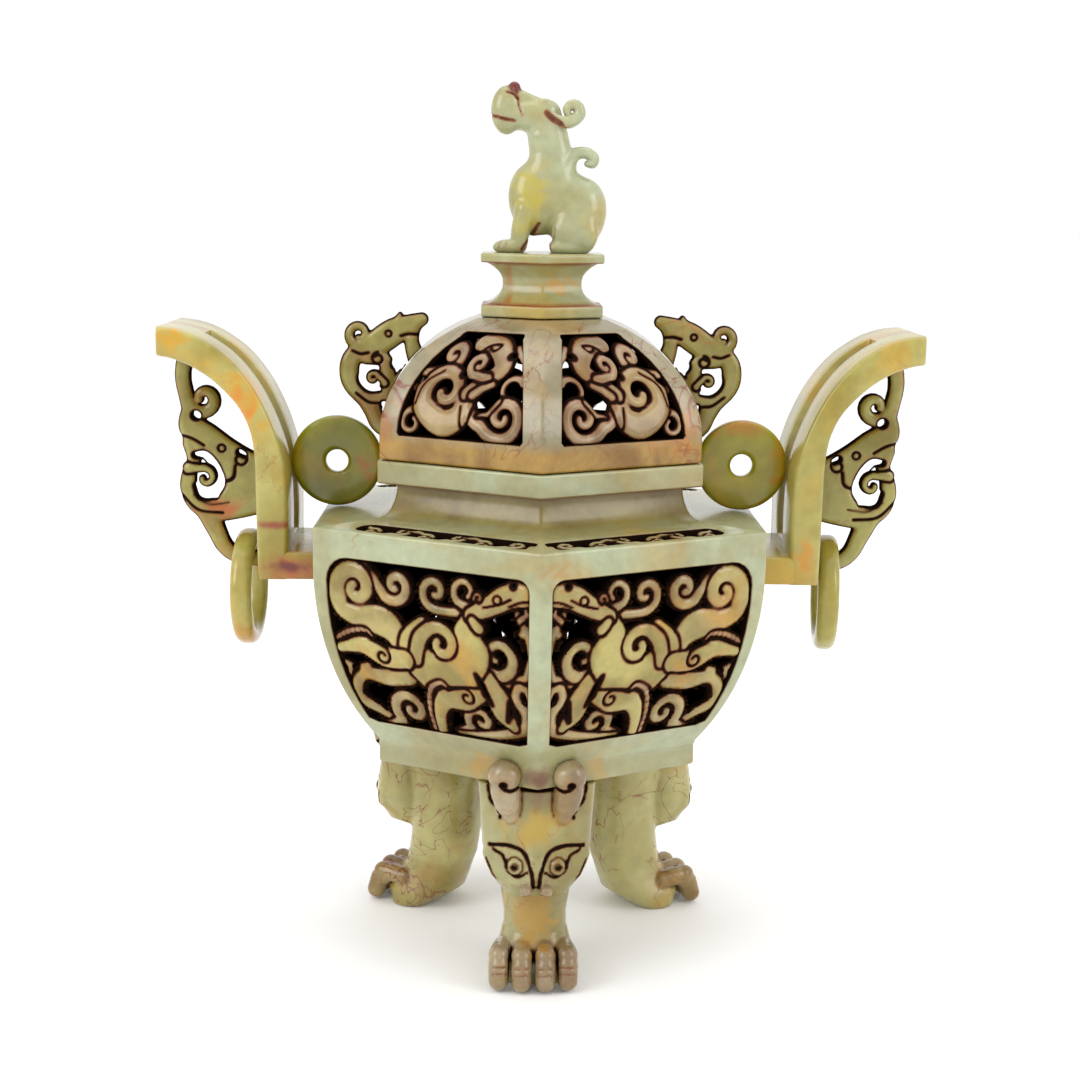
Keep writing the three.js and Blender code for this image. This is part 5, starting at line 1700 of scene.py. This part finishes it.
    def trim(self, clay: Clay) -> None:
        """Cuts the leg off level on the ground and clear of the vessel's foot."""
        v = VESSEL
        part, (x, y, z) = clay.region(clay.low, clay.low + clay.step * np.array(clay.values.shape))
        turn = np.radians(np.array(ALL_FACES) + 30)
        half = np.max([x * math.cos(t) + y * math.sin(t) for t in turn], axis=0)
        wide = np.where(z < v.ledge_top_z + v.gap, v.ledge_half, v.body_half_at(z))
        foot = np.maximum(half - wide - v.gap * 1.2, self.top_z - z)
        clay.values[part] = np.maximum(clay.values[part], -foot)
        clay.values[part] = np.maximum(clay.values[part], -z)

    def build(self) -> None:
        """Makes the three legs."""
        shape = self.sculpt()
        for name, degrees, stone in (("front", 270, FRONT_LEG_STONE), ("right", 30, SIDE_LEG_STONE),
                                     ("left", 150, SIDE_LEG_STONE)):
            self.finish(shape.turned(degrees), f"leg_{name}_carved", stone, Slot.PALE, [f"leg_{name}"])


@dataclass
class Handles(Builder):
    """The grooved straps with their brackets, and the openwork outside them."""

    inner: Stroke = field(default=(
        (75.2, 115.9), (75.2, 127), (75.2, 138), (75.8, 149), (77.8, 157.6), (81, 166), (85.6, 174.4), (92, 182),
        (100, 187.6), (107, 190.2), (113.2, 191),
    ))
    outer: Stroke = field(default=(
        (84.3, 115.9), (84.5, 129), (84.7, 142), (85, 153.6), (86.4, 161.4), (90, 168.4), (96.4, 175), (102.4, 179),
        (106.4, 180.8), (110, 181.9), (113.2, 182.4),
    ))
    half_width: float = 22.1
    groove_half: float = 5.2
    groove_depth: float = 4.4
    edge: float = 1.6

    def section(self, thickness: float, depth: float) -> list[Point]:
        """Returns the outline of the strap across its length, as [y, share from the inner face].

        Args:
            thickness: The thickness there.
            depth: The depth of the groove there.
        """
        w, g, e = self.half_width, self.groove_half, self.edge
        corners = []
        for t in np.radians((90, 67, 45, 23, 0)):
            corners.append((w - e * (1 - math.cos(t)), thickness - e * (1 - math.sin(t))))
        for t in np.radians((0, 23, 45, 67, 90)):
            corners.append((w - e * (1 - math.cos(t)), e * (1 - math.sin(t))))
        lip = min(0.8, depth)
        corners += [(g + 5, 0), (g + 0.7, 0), (g + 0.2, lip * 0.3), (g, lip), (g - 0.2, depth * 0.6),
                    (g - 0.5, depth * 0.92), (g - 1.1, depth), (g * 0.4, depth)]
        mirrored = [(-y, t) for y, t in reversed(corners)]
        return corners + mirrored

    def strap(self, side: Side) -> Shape:
        """Returns a strap with its bracket."""
        inner, outer = flowing(self.inner, 5), flowing(self.outer, 5)
        rows = []
        for a, b in zip(inner, outer):
            along = ease(127.0, 129.4, a[1]) * (1 - ease(98.6, 101.4, a[0]))
            thickness = float(np.linalg.norm(b - a))
            way = (b - a) / thickness
            rows.append([(a[0] + way[0] * t, y, a[1] + way[1] * t)
                         for y, t in self.section(thickness, max(0.02, self.groove_depth * along))])
        first, last = self.shrunk(rows[0], (0, 0, 1)), self.shrunk(rows[-1], (-1, 0, 0))
        rows = [first, *rows[1:-1], last]
        count = len(rows[0])
        faces = [[r * count + n, r * count + (n + 1) % count, (r + 1) * count + (n + 1) % count, (r + 1) * count + n]
                 for r in range(len(rows) - 1) for n in range(count)]
        faces += [list(range(count)), list(range((len(rows) - 1) * count, len(rows) * count))]
        strap = Shape.plain(np.array(rows).reshape(-1, 3), faces)
        sunk = np.abs(strap.vertices[:, 1]) < self.groove_half - 0.6
        strap.tone = np.where(sunk & (strap.vertices[:, 2] > 127), 0.9, 0.0)
        bracket = rounded_block((VESSEL.body_half + VESSEL.gap, -self.half_width, 115.9),
                                (78.0, self.half_width, 124.3), 1.2)
        shape = Shape.joined([strap, bracket])
        shape.vertices = shape.vertices * np.array([side.value, 1, 1])
        return shape

    def shrunk(self, row: Sequence[Point], way: Point) -> list[Point]:
        """Returns an end section drawn in a little, so that the end has no hard edge."""
        place = np.array(row)
        middle = place.mean(axis=0)
        return [tuple(p) for p in middle + (place - middle) * 0.985 + np.array(way) * 0.05]

    def scroll(self) -> Relief:
        """Draws the openwork dragon outside the strap, u away from the vessel's axis and v up."""
        art = Relief((79, 112), (114, 187), 0.42)
        art.lay([
            curl((102.9, 167.8), -12, -0.98, (5.0, 1.5), (4.8, 3.0), [(107.4, 184, 5.4), (109.2, 175, 4.8)]),
            flowing([(107.0, 165.4, 5), (106.8, 159.4, 8), (102.6, 155.4, 10), (97.0, 150.4, 11.4), (91, 145.4, 14),
                     (84, 141, 17)]),
            flowing([(83, 144, 17), (89, 140, 14), (94, 136.6, 10)]),
            flowing([(84, 138, 10), (92.6, 134.8, 8), (100, 133.4, 7), (105.4, 135.6, 6.4), (108.0, 140.4, 5.4),
                     (107.6, 145.6, 4.4), (106.0, 149.2, 3.8)]),
            flowing([(102, 132.4, 7), (99.6, 126.8, 5.8), (97.0, 121.8, 5.2), (92.4, 118.9, 4.8), (83, 118.2, 4.8)]),
            [(106.4, 150, 4), (107.4, 154, 4.6), (106, 157.4, 6)],
        ], 0.0, 0.0, 0.9, 1.0)
        art.cut([(105.0, 162.8, 2.6), (105.2, 162.9, 2.6)])
        art.cut(flowing([(105.6, 150.6, 1.6), (102.6, 150.4, 2.6), (99.8, 146.8, 3.2), (98.8, 142.4, 3.8),
                         (100.6, 139.0, 3.4), (103.8, 138.2, 2.6), (105.2, 141.0, 2.0)]))
        art.lay([curl((102.8, 143.4), 62, 0.8, (3.4, 1.0), (2.9, 2.2), [(108, 146.6, 3.8)])], -0.1, 0.0, 1.0, 0.5)
        art.cut([(90.8, 150.9, 1.4), (92.0, 151.6, 1.6)])
        art.engrave(curl((91.8, 149.4), 100, 0.9, (2.4, 1.2), (0, 0)), 0.6)
        art.engrave(curl((97.4, 152.8), 0, 1.0, (1.2, 1.1), (0, 0)), 0.5, 0.42)
        art.engrave(flowing([(93.4, 147.4, 0), (94.0, 143.8, 0), (96.6, 142.6, 0), (97.4, 144.6, 0)]), 0.7, 0.6)
        art.engrave(flowing([(110.4, 156.8, 0), (106.6, 155.8, 0), (102.8, 153.6, 0)]), 0.7)
        art.engrave(flowing([(110.0, 138.4, 0), (104.8, 133.6, 0), (97.4, 132.8, 0)]), 0.6)
        art.engrave(flowing([(106.2, 138.2, 0), (101.6, 135.4, 0), (95.4, 136.0, 0)]), 0.5, 0.4, 0.7)
        return art

    def build(self) -> None:
        """Makes both straps and both openwork plates."""
        art = self.scroll()
        outer = np.array([p for p in flowing(self.outer, 4) if p[1] > 116])
        face = np.interp(art.v, outer[:, 1], outer[:, 0])
        clear = face + VESSEL.gap - art.u
        art.inside = np.maximum(art.inside, clear)
        plate = art.plate(0.6, 2.8, True)
        for side in Side:
            name = side.name.lower()
            self.finish(self.strap(side), f"strap_{name}", STRAP_STONE, Slot.AMBER, [f"handle_{name}"], 40)
            placed = plate.moved(lambda p, hand=side.value: np.column_stack([p[:, 0] * hand, p[:, 2], p[:, 1]]))
            self.finish(placed, f"openwork_{name}", SCROLL_STONE, Slot.TAN, [f"scroll_{name}"])


def rounded_block(low: Point, high: Point, radius: float) -> Shape:
    """Returns a block with rounded edges between two corners."""
    block = bmesh.new()
    bmesh.ops.create_cube(block, size=1.0)
    middle, size = (np.array(low) + np.array(high)) / 2, np.array(high) - np.array(low)
    for vertex in block.verts:
        vertex.co = Vector(middle + np.array(vertex.co) * size)
    bmesh.ops.bevel(block, geom=list(block.edges), offset=radius, segments=3, profile=0.5, affect="EDGES")
    block.verts.index_update()
    shape = Shape.plain([tuple(v.co) for v in block.verts], [[v.index for v in f.verts] for f in block.faces])
    block.free()
    return shape.outward()


@dataclass
class Fins(Builder):
    """The openwork crests on the left and right faces of the dome."""

    def drawing(self) -> Relief:
        """Draws a fin, u away from the vessel's axis and v up."""
        art = Relief((33, 157), (64, 197), 0.4)
        art.lay([
            curl((55.4, 188.2), -75, 1.0, (3.6, 1.2), (3.4, 2.2), [(51, 184.4, 4.6), (54.4, 184.0, 4)]),
            flowing([(53, 183.6, 7), (49.4, 185.8, 8.4), (45, 188.8, 8.4), (40.4, 191, 6.4), (36.4, 192.8, 4.2)]),
            [(44.2, 191, 3), (43, 194.2, 1.6)],
            flowing([(39, 190.4, 4.4), (39.4, 185.6, 4.6), (37.4, 180, 6), (34, 174, 7)]),
            flowing([(53, 185, 6), (57.8, 180.4, 6), (58.2, 174.6, 6), (55, 170, 5.6), (49.8, 168.2, 5.4),
                     (44.6, 170.6, 6), (40, 176, 7)]),
            flowing([(53, 181.8, 6), (48.4, 180.4, 5.6), (46.6, 176, 4.6), (47, 171, 5)]),
            flowing([(54, 169.6, 6), (51.4, 164.8, 5.4), (49.6, 161, 5.4), (46, 158.6, 6)]),
        ], 0.0, 0.1, 0.9, 0.9)
        art.cut(flowing([(50.0, 178.0, 1.4), (53.4, 177.4, 2.2), (54.4, 174.4, 2.6), (52.4, 171.8, 2.2),
                         (49.4, 171.4, 1.2)]))
        art.lay([curl((51.2, 174.8), 120, -0.7, (1.7, 0.7), (2.2, 2.0), [(47.6, 173.4, 2.6)])], -0.1, 0.1, 1.0, 0.4)
        art.cut([(43.0, 181.4, 3.6), (43.6, 179.4, 3.8)])
        art.cut([(47.4, 166.4, 2.0), (47.8, 166.8, 2.0)])
        art.engrave(curl((49.6, 180.8), 90, -1.15, (2.0, 1.0), (0, 0)), 0.6)
        art.engrave(curl((46.4, 188.4), 0, 1.0, (1.0, 0.9), (0, 0)), 0.5, 0.4)
        art.engrave(flowing([(42.6, 187.8, 0), (40.2, 188.4, 0), (36.6, 188.2, 0)]), 0.6)
        art.engrave(flowing([(57.4, 183.2, 0), (54.8, 182.2, 0), (52.4, 182.6, 0)]), 0.6)
        art.engrave(flowing([(56.2, 170.2, 0), (52.6, 167.6, 0), (49.6, 167.2, 0)]), 0.6)
        return art

    def build(self) -> None:
        """Makes both fins."""
        art = self.drawing()
        art.inside = np.maximum(art.inside, VESSEL.dome_half_at(art.v) + VESSEL.gap - art.u)
        plate = art.plate(0.5, 2.5, True)
        for side in Side:
            name = side.name.lower()
            placed = plate.moved(lambda p, hand=side.value: np.column_stack([p[:, 0] * hand, p[:, 2], p[:, 1]]))
            self.finish(placed, f"crest_{name}", SCROLL_STONE, Slot.TAN, [f"fin_{name}"])


def sweep_tree() -> bpy.types.NodeTree:
    """Returns the geometry tree that sweeps a rounded section round a circle."""
    tree = bpy.data.node_groups.new("swept ring", "GeometryNodeTree")
    for label, kind in (("Radius", "NodeSocketFloat"), ("Width", "NodeSocketFloat"), ("Height", "NodeSocketFloat"),
                        ("Fillet", "NodeSocketFloat"), ("Material", "NodeSocketMaterial")):
        tree.interface.new_socket(label, in_out="INPUT", socket_type=kind)
    tree.interface.new_socket("Geometry", in_out="OUTPUT", socket_type="NodeSocketGeometry")
    graph = Graph(tree)
    given = graph.node("NodeGroupInput").outputs
    path = graph.node("GeometryNodeCurvePrimitiveCircle", {"Resolution": 96, "Radius": given["Radius"]})
    section = graph.node("GeometryNodeCurvePrimitiveQuadrilateral", {"Width": given["Width"],
                                                                    "Height": given["Height"]})
    rounded = graph.node("GeometryNodeFilletCurve", {"Curve": section.outputs[0], "Radius": given["Fillet"]},
                         mode="POLY")
    rounded.inputs["Count"].default_value = 4
    swept = graph.node("GeometryNodeCurveToMesh", {"Curve": path.outputs[0], "Profile Curve": rounded.outputs[0]})
    real = graph.node("GeometryNodeRealizeInstances", {"Geometry": swept.outputs[0]})
    dressed = graph.node("GeometryNodeSetMaterial", {"Geometry": real.outputs[0], "Material": given["Material"]})
    graph.node("NodeGroupOutput", {0: dressed.outputs[0]})
    return tree


def swept(tree: bpy.types.NodeTree, radius: float, width: float, height: float, fillet: float,
          material: bpy.types.Material) -> Shape:
    """Evaluates the sweep and returns it flat about +Z, in millimetres.

    Args:
        tree: The geometry tree.
        radius: The radius of the circle through the middle of the section.
        width: The width of the section along the radius.
        height: Its height along the axis.
        fillet: The radius of its corners.
        material: The finish.
    """
    carrier = bpy.data.objects.new("sweep", bpy.data.meshes.new("sweep"))
    bpy.context.scene.collection.objects.link(carrier)
    modifier = carrier.modifiers.new("sweep", "NODES")
    modifier.node_group = tree
    wanted = {"Radius": radius * MM, "Width": width * MM, "Height": height * MM, "Fillet": fillet * MM,
              "Material": material}
    for item in tree.interface.items_tree:
        if item.in_out == "INPUT":
            modifier[item.identifier] = wanted[item.name]
    made = bpy.data.meshes.new_from_object(carrier.evaluated_get(bpy.context.evaluated_depsgraph_get()))
    shape = Shape.plain([tuple(v.co / MM) for v in made.vertices], [list(p.vertices) for p in made.polygons])
    carrier.modifiers.clear()
    bpy.data.objects.remove(carrier)
    return shape


@dataclass
class Rounds(Builder):
    """The pierced discs on the shoulder and the loose rings on their hooks."""

    disc_radius: float = 13.9
    disc_hole: float = 3.4
    disc_thickness: float = 5.2
    disc_x: float = 62.3
    ring_radius: float = 18.0
    ring_section: float = 2.8
    ring_width: float = 6.6
    ring_x: float = 89.9
    ring_z: float = 109.4

    def build(self) -> None:
        """Makes two discs and two rings with one geometry tree."""
        tree = sweep_tree()
        v = VESSEL
        slope = (v.neck_foot_z - v.body_edge_z) / (v.body_half - v.ledge_half)
        disc_z = v.body_edge_z + slope * (v.body_half - self.disc_x) + v.gap + self.disc_radius
        for side, stone, turn in ((Side.LEFT, OLIVE_LEFT, -2), (Side.RIGHT, OLIVE_RIGHT, -5)):
            name = side.name.lower()
            width = self.disc_radius - self.disc_hole
            disc = swept(tree, self.disc_hole + width / 2, width, self.disc_thickness, 1.7, None)
            placed = Shape(disc.vertices[:, [0, 2, 1]] + np.array([side.value * self.disc_x, 0, disc_z]), disc.faces,
                           disc.stain, disc.tone)
            self.finish(placed, f"disc_{name}_turned", stone, Slot.OLIVE, [f"disc_{name}"], 40)
            ring = swept(tree, self.ring_radius - self.ring_section, 2 * self.ring_section, self.ring_width, 2.5, None)
            angle = math.radians(turn)
            axis, across = np.array([math.cos(angle), math.sin(angle), 0]), np.array([-math.sin(angle),
                                                                                      math.cos(angle), 0])
            place = (ring.vertices[:, :1] * across + ring.vertices[:, 1:2] * np.array([0, 0, 1])
                     + ring.vertices[:, 2:] * axis + np.array([side.value * self.ring_x, 0, self.ring_z]))
            self.finish(Shape(place, ring.faces, ring.stain, ring.tone), f"ring_{name}_turned", RING_STONE, Slot.AMBER,
                        [f"ring_{name}"], 40)


@dataclass(frozen=True)
class Studio:
    """The pale floor, the soft lights and the camera of the photograph."""

    focal_px: float = 1850.0
    frame_px: float = 1080.0
    distance: float = 575.7
    pitch: float = 10.38
    look_z: float = 124.9
    roll: float = 0.80
    shift_x: float = -0.5
    yaw: float = 0.78

    def camera(self) -> None:
        """Sets the camera that the photograph's perspective gives."""
        p, roll, yaw = (math.radians(v) for v in (self.pitch, self.roll, self.yaw))
        right, up = np.array([1.0, 0, 0]), np.array([0, math.sin(p), math.cos(p)])
        right, up = math.cos(roll) * right + math.sin(roll) * up, math.cos(roll) * up - math.sin(roll) * right
        eye = np.array([-self.shift_x, -self.distance * math.cos(p), self.look_z + self.distance * math.sin(p)])
        turn = np.array([[math.cos(yaw), math.sin(yaw), 0], [-math.sin(yaw), math.cos(yaw), 0], [0, 0, 1]])
        right, up, eye = turn @ right, turn @ up, turn @ eye
        back = np.cross(right, up)
        data = bpy.data.cameras.new("camera")
        data.sensor_width = 36.0
        data.lens = 36.0 * self.focal_px / self.frame_px
        data.clip_start, data.clip_end = 0.01, 20.0
        camera = bpy.data.objects.new("camera", data)
        matrix = Matrix.Identity(4)
        for column, axis in enumerate((right, up, back, eye * MM)):
            for row in range(3):
                matrix[row][column] = float(axis[row])
        camera.matrix_world = matrix
        bpy.context.scene.collection.objects.link(camera)
        bpy.context.scene.camera = camera

    def light(self, name: str, place: Point, size: Point, power: float, color: Point = (1, 1, 1)) -> None:
        """Adds a large soft light that looks at the middle of the vessel."""
        data = bpy.data.lights.new(name, "AREA")
        data.shape, data.size, data.size_y = "RECTANGLE", size[0], size[1]
        data.energy, data.color = power, color
        lamp = bpy.data.objects.new(name, data)
        lamp.location = place
        lamp.rotation_euler = (Vector((0, 0, 0.13)) - Vector(place)).to_track_quat("-Z", "Y").to_euler()
        bpy.context.scene.collection.objects.link(lamp)

    def floor(self) -> None:
        """Adds the pale ground."""
        low = -0.0002
        vertices = [(-12, -4, low), (12, -4, low), (12, 20, low), (-12, 20, low)]
        faces = [(0, 1, 2, 3)]
        mesh = bpy.data.meshes.new("ground")
        mesh.from_pydata(vertices, [], faces)
        mesh.shade_smooth()
        material = bpy.data.materials.new("white ground")
        material.use_nodes = True
        shader = material.node_tree.nodes["Principled BSDF"]
        shader.inputs["Base Color"].default_value = (0.93, 0.93, 0.93, 1)
        shader.inputs["Roughness"].default_value = 0.75
        mesh.materials.append(material)
        ground = bpy.data.objects.new("ground", mesh)
        bpy.context.scene.collection.objects.link(ground)

    def world(self) -> None:
        """Lights the surroundings evenly."""
        world = bpy.data.worlds.new("studio")
        bpy.context.scene.world = world
        world.use_nodes = True
        shader = world.node_tree.nodes["Background"]
        shader.inputs["Color"].default_value = (1.0, 1.0, 1.0, 1)
        shader.inputs["Strength"].default_value = 1.08
        bpy.context.scene.view_settings.view_transform = "Standard"

    def build(self) -> None:
        """Sets up everything round the object."""
        self.camera()
        self.floor()
        self.world()
        self.light("left window", (-1.2, -0.8, 0.9), (0.8, 1.0), 9)
        self.light("right window", (1.3, -0.7, 0.8), (0.6, 1.0), 6)
        self.light("top", (0.0, 0.1, 1.5), (1.4, 1.0), 6)


def main() -> None:
    """Builds every piece."""
    Studio().build()
    groups = shared_groups()
    for part in (Bowl, Lid, Finial, Legs, Handles, Fins, Rounds):
        log.info("building %s", part.__name__)
        part(groups).build()


if __name__ == "__main__":
    main()
